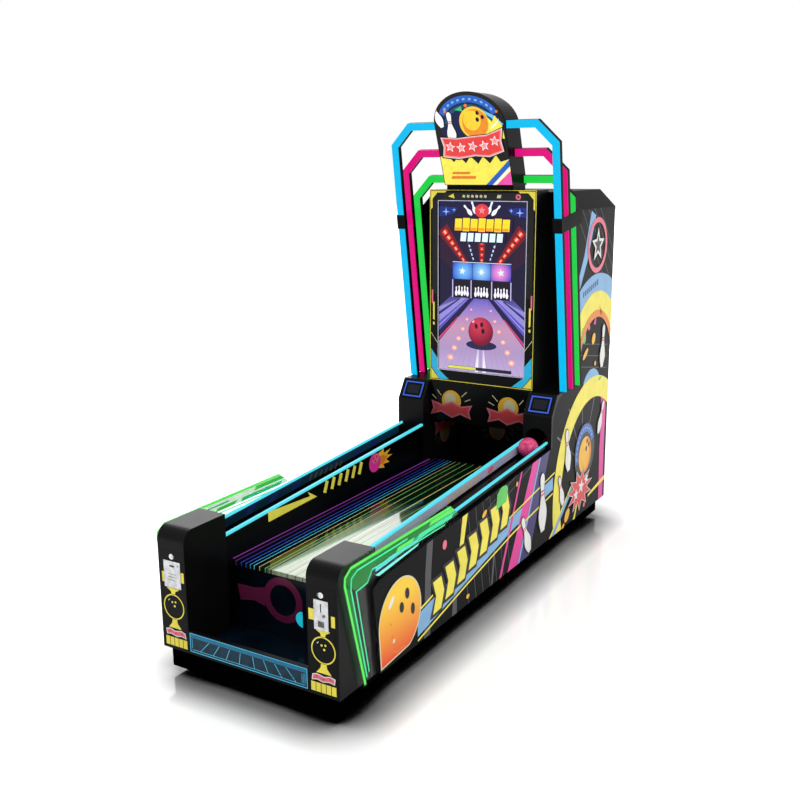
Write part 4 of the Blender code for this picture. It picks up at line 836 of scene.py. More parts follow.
def side_layers(settings):
    """The side print: bands, arcs, chevrons, a ball and pins, back sheets first."""
    row = [(0.690 + 0.112 * k, 0.208 + 0.029 * k, 0.158 + 0.003 * k) for k in range(settings.chevrons)]
    ball_r = settings.ball
    ball_u, ball_v = 0.417, 0.314

    def comet_line(extra):
        """The ball's outline, drawn down to a point at its foot, with a border."""
        return [
            (
                ball_u + (ball_r * 1.06 + extra) * cos(radians(a)),
                ball_v + (ball_r * 1.08 + extra) * sin(radians(a))
            )
            for a in range(-66, 190, 4)
        ] + [(0.268 - extra, 0.146 - extra)]

    pins = (
        (1.885, 0.205, 0.330, 0.06), (1.720, 0.150, 0.235, 0.45), (2.705, 0.960, 0.250, -0.06),
        (2.690, 0.560, 0.200, -0.40), (2.235, 0.450, 0.250, 0.18), (2.165, 0.270, 0.190, 0.35),
    )
    grey_lines = [stroke([(1.04 + 0.075 * k, 0.10), (0.93 + 0.075 * k, 0.66)], 0.0030) for k in range(7)]
    spokes = [
        stroke([(2.46 + 0.16 * cos(radians(a)), 0.40 + 0.18 * sin(radians(a))),
                (2.46 + 0.50 * cos(radians(a)), 0.40 + 0.46 * sin(radians(a)))], 0.003, 0.012)
        for a in (70, 95, 118, 142)
    ]
    upper = [
        stroke([(2.15 + 0.11 * k, 1.98 - 0.02 * k), (2.66 + 0.11 * k, 1.42 - 0.02 * k)], 0.0035)
        for k in range(5)
    ]
    lower = [stroke([(2.30 + 0.03 * k, 1.16 - 0.07 * k), (2.80, 1.08 - 0.07 * k)], 0.003) for k in range(3)]
    return [
        (vinyl("ash"), [
            stroke([(0.680, 0.66), (0.652, 0.42), (0.640, 0.10)], 0.052),
            stroke([(0.905, 0.30), (0.890, 0.10)], 0.026, 0.050),
            stroke([(1.365, 0.70), (1.275, 0.10)], 0.018),
        ]),
        (vinyl("slate"), grey_lines + upper + lower),
        (vinyl("slate"), spokes + [
            stroke([(1.75 + 0.02 * k, 0.70 - 0.035 * k), (1.20, 0.585 - 0.055 * k)], 0.0030)
            for k in range(3)
        ]),
        (vinyl("sky"), [
            [
                (0.560, 0.160), (0.560, 0.262), (1.30, 0.385), (1.62, 0.420), (2.02, 0.470), (2.02, 0.400),
                (1.50, 0.335)
            ],
            bow(2.60, 1.02, (0.520, 0.500), (0.385, 0.400), 15, 178),
        ]),
        (vinyl("sky"), [
            stroke([(2.245, 1.38), (2.40, 1.62), (2.50, 1.86)], 0.044, 0.075),
            bow(2.555, 0.860, (0.140, 0.115), (0.075, 0.055), 5, 176),
        ]),
        (vinyl("navy"), [
            bow(2.60, 1.03, (0.350, 0.350), (0.330, 0.330), 100, 170),
            *[
                oblong(2.375 + 0.030 * k, 1.405 + 0.007 * k, 2.392 + 0.030 * k, 1.437 + 0.007 * k, 0.004)
                for k in range(8)
            ],
        ]),
        (vinyl("purple"), [[(1.560, 0.10), (1.705, 0.10), (1.985, 0.68), (1.850, 0.68)]]),
        (vinyl("pink"), [
            [(1.440, 0.10), (1.560, 0.10), (1.850, 0.68), (1.775, 0.68)],
            [(1.345, 0.10), (1.372, 0.10), (1.646, 0.68), (1.628, 0.68)],
            [(2.700, 0.900), (2.770, 0.868), (2.812, 0.700), (2.806, 0.450), (2.815, 0.10), (2.745, 0.10),
             (2.730, 0.450), (2.745, 0.680), (2.715, 0.800), (2.640, 0.868)],
            [(2.555, 1.235), (2.600, 1.300), (2.590, 1.225)],
        ]),
        (vinyl("sky"), [[(1.565, 0.10), (1.585, 0.10), (1.872, 0.68), (1.854, 0.68)]]),
        (vinyl("yellow"), [
            bow(2.585, 0.300, (0.560, 0.625), (0.455, 0.500), 18, 205, 48),
            bow(2.60, 1.02, (0.385, 0.400), (0.285, 0.290), 4, 186),
            [(0.935, 0.428), (0.975, 0.434), (1.032, 0.640), (0.978, 0.640)],
        ]),
        (vinyl("yellow"), [
            stroke([(0.56, 0.142), (1.02, 0.232), (1.52, 0.318), (2.02, 0.378)], 0.010),
            stroke([(0.56, 0.276), (0.69, 0.302)], 0.010),
            stroke([(1.40, 0.402), (2.04, 0.492)], 0.009),
        ]),
        (vinyl("sky"), [[(1.990, 0.115), (2.045, 0.115), (2.330, 0.335), (2.300, 0.345)]]),
        (vinyl("yellow"), [
            [(1.965, 0.115), (1.990, 0.115), (2.300, 0.345), (2.288, 0.350)],
            stroke([(2.330, 0.10), (2.440, 0.300)], 0.030, 0.006),
            [(2.560, 0.200), (2.835, 0.235), (2.835, 0.262), (2.560, 0.216)],
        ]),
        (vinyl("black"), [chevron(u, v, tall, 0.016) for u, v, tall in row[::2]]),
        (vinyl("black"), [chevron(u, v, tall, 0.016) for u, v, tall in row[1::2]]),
        (vinyl("yellow"), [chevron(u, v, tall) for u, v, tall in row]),
        (vinyl("green"), [
            [
                (1.312, 0.500), (1.428, 0.512), (1.442, 0.578), (1.426, 0.596), (1.372, 0.604),
                (1.322, 0.578)
            ],
            spot(2.405, 1.190, 0.030, 0.048, 0.3),
            oblong(2.66, 0.885, 2.70, 0.905, 0.02),
        ]),
        (vinyl("rose"), [
            spot(0.795, 0.500, 0.019, 0.022), spot(2.482, 1.225, 0.016), spot(2.500, 0.170, 0.015),
            *hoop(2.572, 1.680, 0.152, 0.124, 1.02),
        ]),
        (vinyl("orange"), [
            bow(2.60, 1.02, (0.285, 0.290), (0.245, 0.250), 0, 188),
            [(2.640, 1.335), (2.675, 1.300), (2.700, 1.205), (2.668, 1.262)],
        ]),
        (vinyl("gold"), [
            spot(1.020, 0.168, 0.016, 0.011), spot(1.185, 0.522, 0.026, 0.014, 0.4),
            spot(1.548, 0.566, 0.010, 0.013), spot(2.560, 1.150, 0.026, 0.034, -0.5),
            spot(2.440, 1.080, 0.046, 0.017, 0.6), spot(2.740, 1.030, 0.020, 0.034, 0.2),
            spot(2.600, 1.000, 0.014), spot(2.235, 0.185, 0.044, 0.030, 0.8),
            spot(2.180, 0.135, 0.022, 0.012, 0.6),
        ]),
        (vinyl("cream"), [comet_line(0.007)]),
        (faded_ink("sunset", "#F03C1E", "#FFD23C", 0.14, 0.42), [comet_line(0.0)]),
        (vinyl("orange"), [
            spot(0.350, 0.250, 0.010), spot(0.380, 0.215, 0.007), spot(0.340, 0.310, 0.006),
            stroke([(0.330, 0.200), (0.380, 0.170), (0.450, 0.172)], 0.006),
        ]),
        (vinyl("white"), [
            spot(0.345, 0.404, 0.030, 0.012, 0.8), burst(0.362, 0.228, 0.014, 0.005, 4, 0.4)
        ]),
        (vinyl("black"), [
            spot(0.470, 0.398, 0.017, 0.026, 0.25), spot(0.425, 0.352, 0.017, 0.025, 0.25),
            spot(0.515, 0.312, 0.016, 0.027, 0.15),
            *[pin_shape(u, v, tall, turn, 0.006) for u, v, tall, turn in pins[:4]],
            spot(2.480, 0.500, 0.155, 0.170, steps=48),
        ]),
        (vinyl("blue"), [bow(2.480, 0.500, (0.148, 0.163), (0.104, 0.116), 20, 200)]),
        (vinyl("sky"), [
            spot(
                2.480 + 0.126 * cos(radians(a)), 0.500 + 0.140 * sin(radians(a)), 0.011, 0.006,
                radians(a + 90), 12
            )
            for a in range(34, 190, 14)
        ]),
        (vinyl("gold"), [spot(2.485, 0.480, 0.098, 0.108, steps=48)]),
        (vinyl("orange"), [bow(2.485, 0.480, (0.098, 0.108), (0.070, 0.090), -100, 60, 24)]),
        (vinyl("black"), [
            spot(2.512, 0.556, 0.011, 0.015), spot(2.540, 0.530, 0.011, 0.015),
            spot(2.502, 0.512, 0.012, 0.016),
            burst(2.420, 0.285, 0.205, 0.120, 11, 0.15, 0.66),
            *[pin_shape(u, v, tall, turn, 0.006) for u, v, tall, turn in pins[4:]],
        ]),
        (vinyl("white"), [burst(2.420, 0.285, 0.196, 0.112, 11, 0.15, 0.66)]),
        (vinyl("red"), [burst(2.420, 0.285, 0.184, 0.103, 11, 0.15, 0.66)]),
        (vinyl("white"), [pin_shape(*pin) for pin in pins] + [
            burst(2.360, 0.270, 0.040, 0.016, 5, 0.3), burst(2.440, 0.300, 0.048, 0.019, 5, 0.1),
            burst(2.520, 0.325, 0.036, 0.015, 5, 0.5),
        ]),
        (vinyl("red"), [stripe for pin in pins for stripe in pin_stripes(*pin)]),
        (vinyl("white"), [burst(2.572, 1.680, 0.100, 0.044, 5, 0.32)]),
        (vinyl("black"), [burst(2.572, 1.680, 0.062, 0.026, 5, 0.32)]),
    ]


class BOWLING_OT_side_prints(Operator):
    """Lays the printed vinyl on both side boards and trims it to their outline"""

    bl_idname = "bowling.side_prints"
    bl_label = "Side prints"

    def execute(self, context):
        layers = side_layers(context.scene.bowling_print)
        for word, side in SIDES:
            lay_trimmed(
                f"{word}_side_print", wall_place(side * BOARD_X, side), layers, f"{word}_side_board",
                (side * SIDE_REACH, 0, 0),
            )
        return {"FINISHED"}


# The wings' lit lines


def wing_layers(neon):
    """A wing's lines: a green haze, the edge line, and mint and aqua lines inside it."""
    edge = lit_cover("lit_wing_edge", (*neon.wing, 1.0), neon.level, 0.05)
    mint = lit_cover("lit_wing_mint", tint("#3FE49A"), neon.level, 0.05)
    aqua = lit_cover("lit_wing_aqua", tint("#7FEFE0"), neon.level, 0.05)
    haze = glow_ink("wing_haze", "#1F9A3C", 0.8)
    haze.node_tree.nodes["Principled BSDF"].inputs["Alpha"].default_value = 0.42
    return [
        (haze, [
            [
                (0.028, 0.600), (0.031, 0.626), (0.068, 0.650), (0.915, 0.650), (0.915, 0.604),
                (0.215, 0.604), (0.180, 0.562), (0.092, 0.556)
            ],
            [(0.143, 0.140), (0.022, 0.596), (0.060, 0.575), (0.160, 0.170)],
        ]),
        (edge, [stroke(
            [(0.150, 0.132), (0.021, 0.600), (0.024, 0.630), (0.064, 0.656), (0.915, 0.656)], 0.013
        )]),
        (mint, [
            stroke(
                [(0.162, 0.160), (0.062, 0.569), (0.066, 0.612), (0.106, 0.632), (0.480, 0.634)], 0.008
            ),
            stroke(
                [
                    (0.178, 0.176), (0.097, 0.548), (0.176, 0.556), (0.212, 0.598), (0.480, 0.594),
                    (0.800, 0.592)
                ],
                0.007
            ),
            oblong(0.560, 0.603, 0.860, 0.622, 0.016),
        ]),
        (edge, [oblong(0.389, 0.606, 0.520, 0.622, 0.016), oblong(0.660, 0.630, 0.900, 0.648, 0.016)]),
        (aqua, [[(0.231, 0.566), (0.260, 0.552), (0.560, 0.575), (0.574, 0.584)]]),
    ]


class BOWLING_OT_wing_lines(Operator):
    """Lays the lit lines that are engraved in the clear wings"""

    bl_idname = "bowling.wing_lines"
    bl_label = "Wing lines"

    def execute(self, context):
        lines = wing_layers(context.scene.bowling_neon)
        for word, side in SIDES:
            lay_trimmed(
                f"{word}_wing_lines", wall_place(side * BOARD_X, side), lines, f"{word}_wing",
                (side * SIDE_REACH, 0, 0),
            )
        return {"FINISHED"}


# The tower doors' prints and fittings


def door_layers(side):
    """One door's print: side bars, a ring on a stem, a rose banner and a striped block."""
    mid = side * 0.386

    def mirrored(outlines):
        return [[(side * x, y) for x, y in outline] for outline in outlines]

    block = [oblong(0.323 + 0.0245 * k, 0.141, 0.3445 + 0.0245 * k, 0.180) for k in range(5)]
    banner = [
        (0.326, 0.186), (0.352, 0.192), (0.380, 0.186), (0.412, 0.193), (0.436, 0.188),
        (0.440, 0.214), (0.414, 0.220), (0.388, 0.212), (0.352, 0.219), (0.330, 0.212),
    ]
    inner = [
        (0.331, 0.190), (0.352, 0.196), (0.380, 0.190), (0.412, 0.197), (0.432, 0.192),
        (0.435, 0.210), (0.414, 0.216), (0.388, 0.208), (0.352, 0.215), (0.334, 0.209),
    ]
    stem = [
        [
            (mid - 0.012, 0.267), (mid + 0.012, 0.267), (mid + 0.016, 0.247), (mid + 0.036, 0.224),
            (mid - 0.036, 0.224), (mid - 0.016, 0.247)
        ],
        [
            (mid - 0.009, 0.377), (mid + 0.009, 0.377), (mid + 0.013, 0.392), (mid + 0.032, 0.402),
            (mid + 0.032, 0.4065), (mid - 0.032, 0.4065), (mid - 0.032, 0.402), (mid - 0.013, 0.392)
        ],
    ]
    return [
        (vinyl("yellow"), [
            *hoop(mid, 0.322, 0.0575, 0.0520),
            *stem,
            spot(mid - 0.008, 0.342, 0.0048), spot(mid + 0.010, 0.345, 0.0048),
            spot(mid + 0.004, 0.326, 0.0052),
            *mirrored(block),
            *mirrored([oblong(0.3205, 0.440, 0.3480, 0.486), oblong(0.4255, 0.428, 0.4435, 0.474)]),
        ]),
        (vinyl("white"), [
            stroke([(mid - 0.030, 0.346), (mid - 0.022, 0.354)], 0.0028),
            *mirrored([banner]),
        ]),
        (vinyl("rose"), mirrored([inner])),
        (vinyl("red"), mirrored([
            burst(0.350, 0.204, 0.008, 0.003, 5), burst(0.384, 0.201, 0.008, 0.003, 5),
            burst(0.416, 0.206, 0.008, 0.003, 5),
        ])),
    ]


def small_screw(name, place, radius, finish):
    """A pan-head screw with a round recess in its head."""
    pick_none()
    bpy.ops.mesh.primitive_cylinder_add(vertices=20, radius=radius, depth=radius * 0.5)
    screw = bpy.context.active_object
    screw.name = name
    bpy.ops.object.mode_set(mode="EDIT")
    bpy.ops.mesh.select_all(action="DESELECT")
    bpy.ops.object.mode_set(mode="OBJECT")
    for face in screw.data.polygons:
        face.select = face.normal.z > 0.9
    bpy.ops.object.mode_set(mode="EDIT")
    bpy.ops.mesh.select_mode(type="FACE")
    bpy.ops.mesh.inset(thickness=radius * 0.3)
    bpy.ops.transform.translate(value=(0, 0, radius * 0.22))
    bpy.ops.mesh.inset(thickness=radius * 0.22)
    bpy.ops.transform.translate(value=(0, 0, -radius * 0.16))
    bpy.ops.object.mode_set(mode="OBJECT")
    screw.matrix_world = place @ Matrix.Translation((0, 0, radius * 0.25))
    bpy.ops.object.transform_apply(location=True, rotation=True, scale=True)
    bpy.ops.object.shade_smooth_by_angle(angle=radians(40))
    screw.data.materials.append(finish)
    return screw


def copy_to(thing, name, shift):
    """A copy with its own mesh, moved by shift."""
    twin = thing.copy()
    twin.data = thing.data.copy()
    twin.name = name
    bpy.context.collection.objects.link(twin)
    pick(twin)
    twin.location = shift
    bpy.ops.object.transform_apply(location=True, rotation=False, scale=False)
    return twin


def screws_at(name, place, spots, radius, finish, body):
    """A set of like screws on one plane, joined as one piece."""
    first = small_screw(f"{name}_0", place @ Matrix.Translation((*spots[0], 0)), radius, finish)
    frame_axes = place.to_3x3()
    made = [first]
    for number, where in enumerate(spots[1:], 1):
        shift = frame_axes @ Vector((where[0] - spots[0][0], where[1] - spots[0][1], 0))
        made.append(copy_to(first, f"{name}_{number}", shift))
    unite(name, made, body)


class BOWLING_OT_door_fronts(Operator):
    """Dresses the tower doors: prints, key ways, plate lines and screws"""

    bl_idname = "bowling.door_fronts"
    bl_label = "Door fronts"

    def execute(self, context):
        chrome = polished_chrome()
        slot_black = vinyl("black")
        for word, side in SIDES:
            lay_print(f"{word}_door_print", front_place(FRONT), door_layers(side), f"{word}_door")
            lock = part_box(f"{word}_door_lock")
            mid, high = (lock[0][0] + lock[1][0]) / 2, (lock[0][2] + lock[1][2]) / 2
            lay_print(
                f"{word}_key_way", front_place(lock[0][1]),
                [
                    (
                        moulded_plastic(f"lock_ring_{word}", "#77787A", "#8E9092"),
                        hoop(mid, high, 0.0082, 0.0070)
                    ),
                    (slot_black, [oblong(mid - 0.0009, high - 0.0042, mid + 0.0009, high + 0.0042)]),
                ],
                f"{word}_lock",
            )
        plate_y = TICKET[0][1]
        cx = (TICKET[0][0] + TICKET[1][0]) / 2
        top = TICKET[1][2]
        marks = [(0.022 - 0.004 * k, top - 0.058 - 0.013 * k) for k in range(3)]
        lay_print(
            "ticket_plate_marks", front_place(plate_y),
            [
                (vinyl("slate"), [
                    stroke([(cx - 0.024, level), (cx + reach, level)], 0.0022) for reach, level in marks
                ] + [spot(cx + 0.034, top - 0.016, 0.0032)]),
            ],
            "left_door",
        )
        screws_at(
            "coin_plate_screws", front_place(COIN[0][1] + 0.0012),
            [
                (x, z) for z in (COIN[0][2] + COIN_INSET, COIN[1][2] - COIN_INSET)
                for x in (COIN[0][0] + COIN_INSET, COIN[1][0] - COIN_INSET)
            ],
            COIN_SCREW, chrome, "right_door",
        )
        return {"FINISHED"}


# The kick panel and the recess


def kick_layers():
    """The kick panel's line print: a lit frame with rungs and hatching on deep blue."""
    half = KICK[1][0] - 0.006
    low, high = KICK[0][2] + 0.012, KICK[1][2] - 0.004
    ground = faded_ink("kick_ground", "#072030", "#0D3850", low, high)
    band = glow_ink("kick_band", "#2A86B0", 0.42)
    line = glow_ink("kick_line", "#4FC4EC", 0.62)
    rungs = [
        stroke([(u, low + 0.012), (u * 0.80, high - 0.022)], 0.0030)
        for u in (-0.25, -0.18, -0.11, -0.04, 0.04, 0.11, 0.18, 0.25)
    ]
    hatch = []
    for k in range(9):
        for n in range(3):
            left = -0.262 + 0.060 * k + 0.004 * n
            level = low + 0.021 + 0.011 * n
            hatch.append(stroke([(left, level), (left + 0.032, level)], 0.0017))
    outer = oblong(-half, low, half, high)
    inside = oblong(-half + 0.004, low + 0.004, half - 0.004, high - 0.004)
    return [
        (ground, [outer]),
        (band, [oblong(-half + 0.006, high - 0.020, half - 0.006, high - 0.006)]),
        (line, [
            outer, inside,
            stroke([(-half + 0.012, low + 0.012), (half - 0.012, low + 0.012)], 0.0026),
            stroke([(-half + 0.012, low + 0.018), (-half + 0.012, high - 0.024)], 0.0026),
            stroke([(half - 0.012, low + 0.018), (half - 0.012, high - 0.024)], 0.0026),
            stroke([(half - 0.020, low + 0.018), (half - 0.020, high - 0.026)], 0.0018),
            stroke([(half - 0.027, low + 0.018), (half - 0.027, high - 0.028)], 0.0018),
        ]),
        (glow_ink("kick_rung", "#5CCBE8", 0.6), rungs),
        (glow_ink("kick_hatch", "#1F6C8C", 0.4), hatch),
    ]


class BOWLING_OT_front_prints(Operator):
    """Lays the line print on the kick panel and the ring print in the recess"""

    bl_idname = "bowling.front_prints"
    bl_label = "Front prints"

    def execute(self, context):
        lay_print("kick_panel_print", front_place(KICK[0][1]), kick_layers())
        ring = hoop(-0.041, 0.312, 0.104, 0.070, steps=64)
        tail = [[
            (-0.292, 0.336), (-0.278, 0.262), (-0.200, 0.276), (-0.1385, 0.262), (-0.146, 0.312),
            (-0.1385, 0.350), (-0.200, 0.338)
        ]]
        lay_print(
            "recess_print", front_place(RECESS_Y),
            [
                (halftone_ink(), ring + tail),
                (glow_ink("recess_disc", "#25C8E0", 0.7), [
                    bow(0.062, 0.246, (0.036, 0.036), (0.001, 0.001), 90, 270, 16),
                ]),
            ],
        )
        return {"FINISHED"}


# The rails' prints


def wall_layers():
    """A lane wall's print: a purple foot line, an arrow, bars and a ball with flames."""
    bars = [
        stroke([(1.00 + 0.062 * k, 0.548 + 0.002 * k), (1.024 + 0.062 * k, 0.604 + 0.003 * k)], 0.026)
        for k in range(6)
    ]
    arrow = [(0.555, 0.585), (0.555, 0.536), (0.935, 0.548), (0.862, 0.592), (0.878, 0.566)]
    flames = [
        (1.480, 0.545), (1.560, 0.528), (1.545, 0.552), (1.610, 0.548), (1.575, 0.572),
        (1.640, 0.585), (1.580, 0.596), (1.620, 0.622), (1.555, 0.612), (1.550, 0.640), (1.480, 0.618),
    ]
    return [
        (glow_ink("foot_purple", "#7C3592", 0.8), [
            stroke([(0.302, LANE_TOP + 0.008), (2.055, LANE_TOP + 0.008)], 0.005),
        ]),
        (vinyl("yellow"), [arrow, *bars]),
        (vinyl("gold"), [flames]),
        (vinyl("orange"), [[
            (1.50, 0.556), (1.555, 0.560), (1.590, 0.586), (1.545, 0.604), (1.50, 0.606)
        ]]),
        (vinyl("pink"), [spot(1.462, 0.582, 0.056, 0.052)]),
        (vinyl("rose"), [spot(1.470, 0.600, 0.030, 0.024, 0.3)]),
        (vinyl("magenta"), [
            spot(1.452, 0.606, 0.007, 0.009), spot(1.478, 0.610, 0.007, 0.009),
            spot(1.466, 0.588, 0.007, 0.009)
        ]),
    ]


class BOWLING_OT_rail_prints(Operator):
    """Lays the yellow print along the lane walls, a painted pale lilac reflection with marks on the
    troughs' inner walls, and the purple foot lines
    """

    bl_idname = "bowling.rail_prints"
    bl_label = "Rail prints"

    def execute(self, context):
        # Pale lilac on the troughs' inner walls is a painted reflection of the room in the glossy wall.
        lilac = plain_finish(
            "lilac_trough_liner", "#B9B4D2", "#DCDAEC", 0.3, (0.10, 0.2), 0.01, 0.00002,
            **{"IOR": 1.5, "Coat Weight": 0.5, "Coat Roughness": 0.05},
        )
        start, end = 0.300, 1.930
        trough_band = [[
            (start, rail_line(start) - TROUGH_DEEP + 0.012), (end, rail_line(end) - TROUGH_DEEP + 0.012),
            (end, rail_line(end) - 0.010), (start, rail_line(start) - 0.010),
        ]]
        marks = []
        for k in range(6):
            u = 1.10 + 0.055 * k
            level = rail_line(u) - 0.050
            marks.append(stroke([(u, level), (u + 0.018, level + 0.028)], 0.014))
        dash = rail_line(1.06)
        teal = faded_ink("trough_teal", "#06202C", "#0E3E58", -1.2, 0.6, "Y")
        for word, side in SIDES:
            lay_print(f"{word}_lane_wall_print", wall_place(side * WALL_X, -side), wall_layers())
            lay_print(
                f"{word}_trough_liner", wall_place(side * TROUGH_IN, side),
                [
                    (lilac, trough_band),
                    (vinyl("gold"), marks),
                    (vinyl("rose"), [spot(1.55, rail_line(1.55) - 0.034, 0.034, 0.016, 0.2)]),
                ],
            )
            lay_print(
                f"{word}_trough_outer_print", wall_place(side * TROUGH_OUT, -side),
                [
                    (teal, trough_band),
                    (vinyl("navy"), [
                        [
                            (u, rail_line(u) - 0.052), (u + 0.05, rail_line(u) - 0.050),
                            (u + 0.09, rail_line(u) - 0.014), (u + 0.03, rail_line(u) - 0.016),
                        ]
                        for u in (0.55, 0.72, 0.90, 1.45, 1.62)
                    ]),
                    (faded_ink("trough_ochre", "#5A4A18", "#6E5A20", 0.5, 0.7), [
                        stroke([(1.06 + 0.045 * k, dash - 0.046), (1.08 + 0.045 * k, dash - 0.020)], 0.010)
                        for k in range(7)
                    ] + [spot(0.36, rail_line(0.36) - 0.032, 0.040, 0.018, 0.1)]),
                ],
            )
        return {"FINISHED"}


# The mouth


def banner_art(mid, flip):
    """One motif over the mouth: a zigzag banner, the field in it and small rays over both."""
    def at(points):
        return [(mid + flip * x, z) for x, z in points]

    banner = [
        (-0.130, 0.720), (-0.060, 0.742), (0.010, 0.712), (0.062, 0.738), (0.132, 0.716), (0.120, 0.760),
        (0.140, 0.800), (0.066, 0.786), (0.010, 0.812), (-0.050, 0.786), (-0.124, 0.806), (-0.112, 0.762),
    ]
    field = [
        (-0.116, 0.732), (-0.060, 0.752), (0.010, 0.724), (0.062, 0.749), (0.118, 0.730), (0.109, 0.760),
        (0.122, 0.788), (0.066, 0.776), (0.010, 0.799), (-0.050, 0.776), (-0.110, 0.793), (-0.101, 0.762),
    ]
    lines = (
        [(-0.120, 0.838), (-0.092, 0.816)], [(-0.085, 0.868), (-0.060, 0.838)],
        [(0.070, 0.842), (0.104, 0.874)], [(0.092, 0.818), (0.128, 0.834)],
    )
    return at(banner), at(field), [at(stroke(line, 0.005)) for line in lines]


def mouth_layers(shade):
    """The art over the mouth, or its dim copy for the painted reflections, in inks given by shade."""
    banners, fields, rays, discs, cores = [], [], [], [], []
    for mid, flip in ((-0.178, 1), (0.190, -1)):
        banner, field, ray = banner_art(mid, flip)
        banners.append(banner)
        fields.append(field)
        rays.extend(ray)
        discs.append(spot(mid + flip * 0.006, 0.812, 0.062))
        cores.append(spot(mid + flip * -0.002, 0.822, 0.036))
    return [
        (shade("gold"), discs),
        (shade("cream"), cores + rays),
        (shade("rose"), banners),
        (shade("red"), fields),
    ]


def turned(layers, mid, shift, squeeze):
    """The half of the art about mid, turned upside down below the header, as a painted reflection."""
    fold = 2 * HEADER[0][2]
    kept = []
    for finish, outlines in layers:
        half = [o for o in outlines if abs(sum(x for x, _z in o) / len(o) - mid) < 0.17]
        kept.append((finish, [[(shift + (x - mid) * squeeze, fold - z) for x, z in o] for o in half]))
    return kept


class BOWLING_OT_mouth_prints(Operator):
    """Lays the print over the ball mouth and dim, upside-down copies of it on the lane wall and the
    backstop as painted reflections
    """

    bl_idname = "bowling.mouth_prints"
    bl_label = "Mouth prints"

    def execute(self, context):
        dim = {"gold": "#8E6A22", "cream": "#6E6850", "rose": "#8C4450", "red": "#8A2A30"}

        # The header's inks run from a dull tone at the bottom to a brighter one at the top.
        def lit(ink):
            return faded_ink(f"header_{ink}", darker(dim[ink], 0.75), darker(INK[ink], 0.85), 0.66, 0.90)

        # Inks of the painted reflections: a dull tone, darker towards the bottom.
        def dull(ink):
            return faded_ink(f"mouth_{ink}", "#2A1414", dim[ink], 0.46, 0.66)

        lay_print("mouth_header_print", front_place(HEADER[0][1]), mouth_layers(lit))
        # Painted reflections of the header's art on the glossy lane wall and the backstop.
        reflected_art = mouth_layers(dull)
        lay_print("mouth_left_painted_reflection", wall_place(-WALL_X, 1), turned(reflected_art, -0.178, 2.235, 0.95))
        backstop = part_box("pit_chute")[1][1] - CHUTE_WALL
        lay_print("mouth_back_painted_reflection", front_place(backstop), turned(reflected_art, 0.190, -0.055, 0.85))
        return {"FINISHED"}


# Lens frames


class BOWLING_OT_lens_frames(Operator):
    """Lays the blue outline on each shoulder lens"""

    bl_idname = "bowling.lens_frames"
    bl_label = "Lens frames"

    def execute(self, context):
        blue = glow_ink("lens_blue", "#3D62D6", 0.75)
        faint = glow_ink("lens_faint", "#141A26", 0.4)
        for word, _side in SIDES:
            place, across, up = panel_place(f"{word}_shoulder_lens")
            outer, inner, field = (
                oblong(gap - across, gap - up, across - gap, up - gap) for gap in (0.006, 0.014, 0.026)
            )
            lay_print(f"{word}_lens_frame", place, [(blue, [outer, inner]), (faint, [field])])
        return {"FINISHED"}


# The screen


def ray_quad(vanish, angle0, angle1, near, far):
    """A four-sided patch between two rays from the vanishing point."""
    points = []
    for angle, reach in ((angle0, near), (angle1, near), (angle1, far), (angle0, far)):
        a = radians(angle)
        points.append((vanish[0] + cos(a) * reach, vanish[1] + sin(a) * reach))
    return points


def screen_ground():
    """The picture's ground: a dark hall over a lilac lane."""
    finish, tree, shader, place = start_finish(
        "lit_screen_ground", {"Specular IOR Level": 0.15, "Emission Strength": 0.95}
    )
    part = add_node(tree, "ShaderNodeSeparateXYZ", links={"Vector": place})
    rise = add_node(
        tree, "ShaderNodeMapRange", {"From Min": SCREEN_LOW, "From Max": SCREEN_HIGH},
        {"Value": part.outputs["Z"]},
    )
    ramp = add_node(tree, "ShaderNodeValToRGB", links={"Fac": rise.outputs["Result"]})
    set_ramp(ramp, [
        (0.0, tint("#C9A8C4")), (0.35, tint("#7E78D4")), (0.47, tint("#2A2670")),
        (0.53, tint("#1A1648")), (0.62, tint("#180E34")), (0.80, tint("#200C30")), (1.0, tint("#141440")),
    ])
    tree.links.new(ramp.outputs["Color"], shader.inputs["Emission Color"])
    shader.inputs["Base Color"].default_value = tint("#0A0A14")
    noise = add_grain(tree, shader, place, 0.002, 0.000002)
    vary_gloss(tree, shader, noise, 0.15, 0.25)
    return finish


@cache
def glow_spot(name, low, high, middle, reach):
    """A soft round light in the picture: bright in the middle, the ground's colour at its rim."""
    finish, tree, shader, place = start_finish(
        f"lit_{name}", {"Specular IOR Level": 0.1, "Roughness": 0.22, "Emission Strength": 1.0}
    )
    centred = add_node(
        tree, "ShaderNodeMapping",
        {"Location": (-middle[0], 0.0, -middle[1]), "Scale": (1.0, 0.0, 1.0)}, {"Vector": place},
    )
    away = add_node(
        tree, "ShaderNodeVectorMath", links={0: centred.outputs["Vector"]}, operation="LENGTH"
    )
    rim = add_node(
        tree, "ShaderNodeMapRange", {"From Min": 0.0, "From Max": reach},
        {"Value": away.outputs["Value"]}
    )
    ramp = add_node(tree, "ShaderNodeValToRGB", links={"Fac": rim.outputs["Result"]})
    set_ramp(ramp, [(0.0, tint(high)), (1.0, tint(low))])
    light_up(tree, shader, ramp, 0.2)
    return finish


def both_sides(outline):
    """An outline and its mirror image."""
    return [outline, [(-x, z) for x, z in outline]]


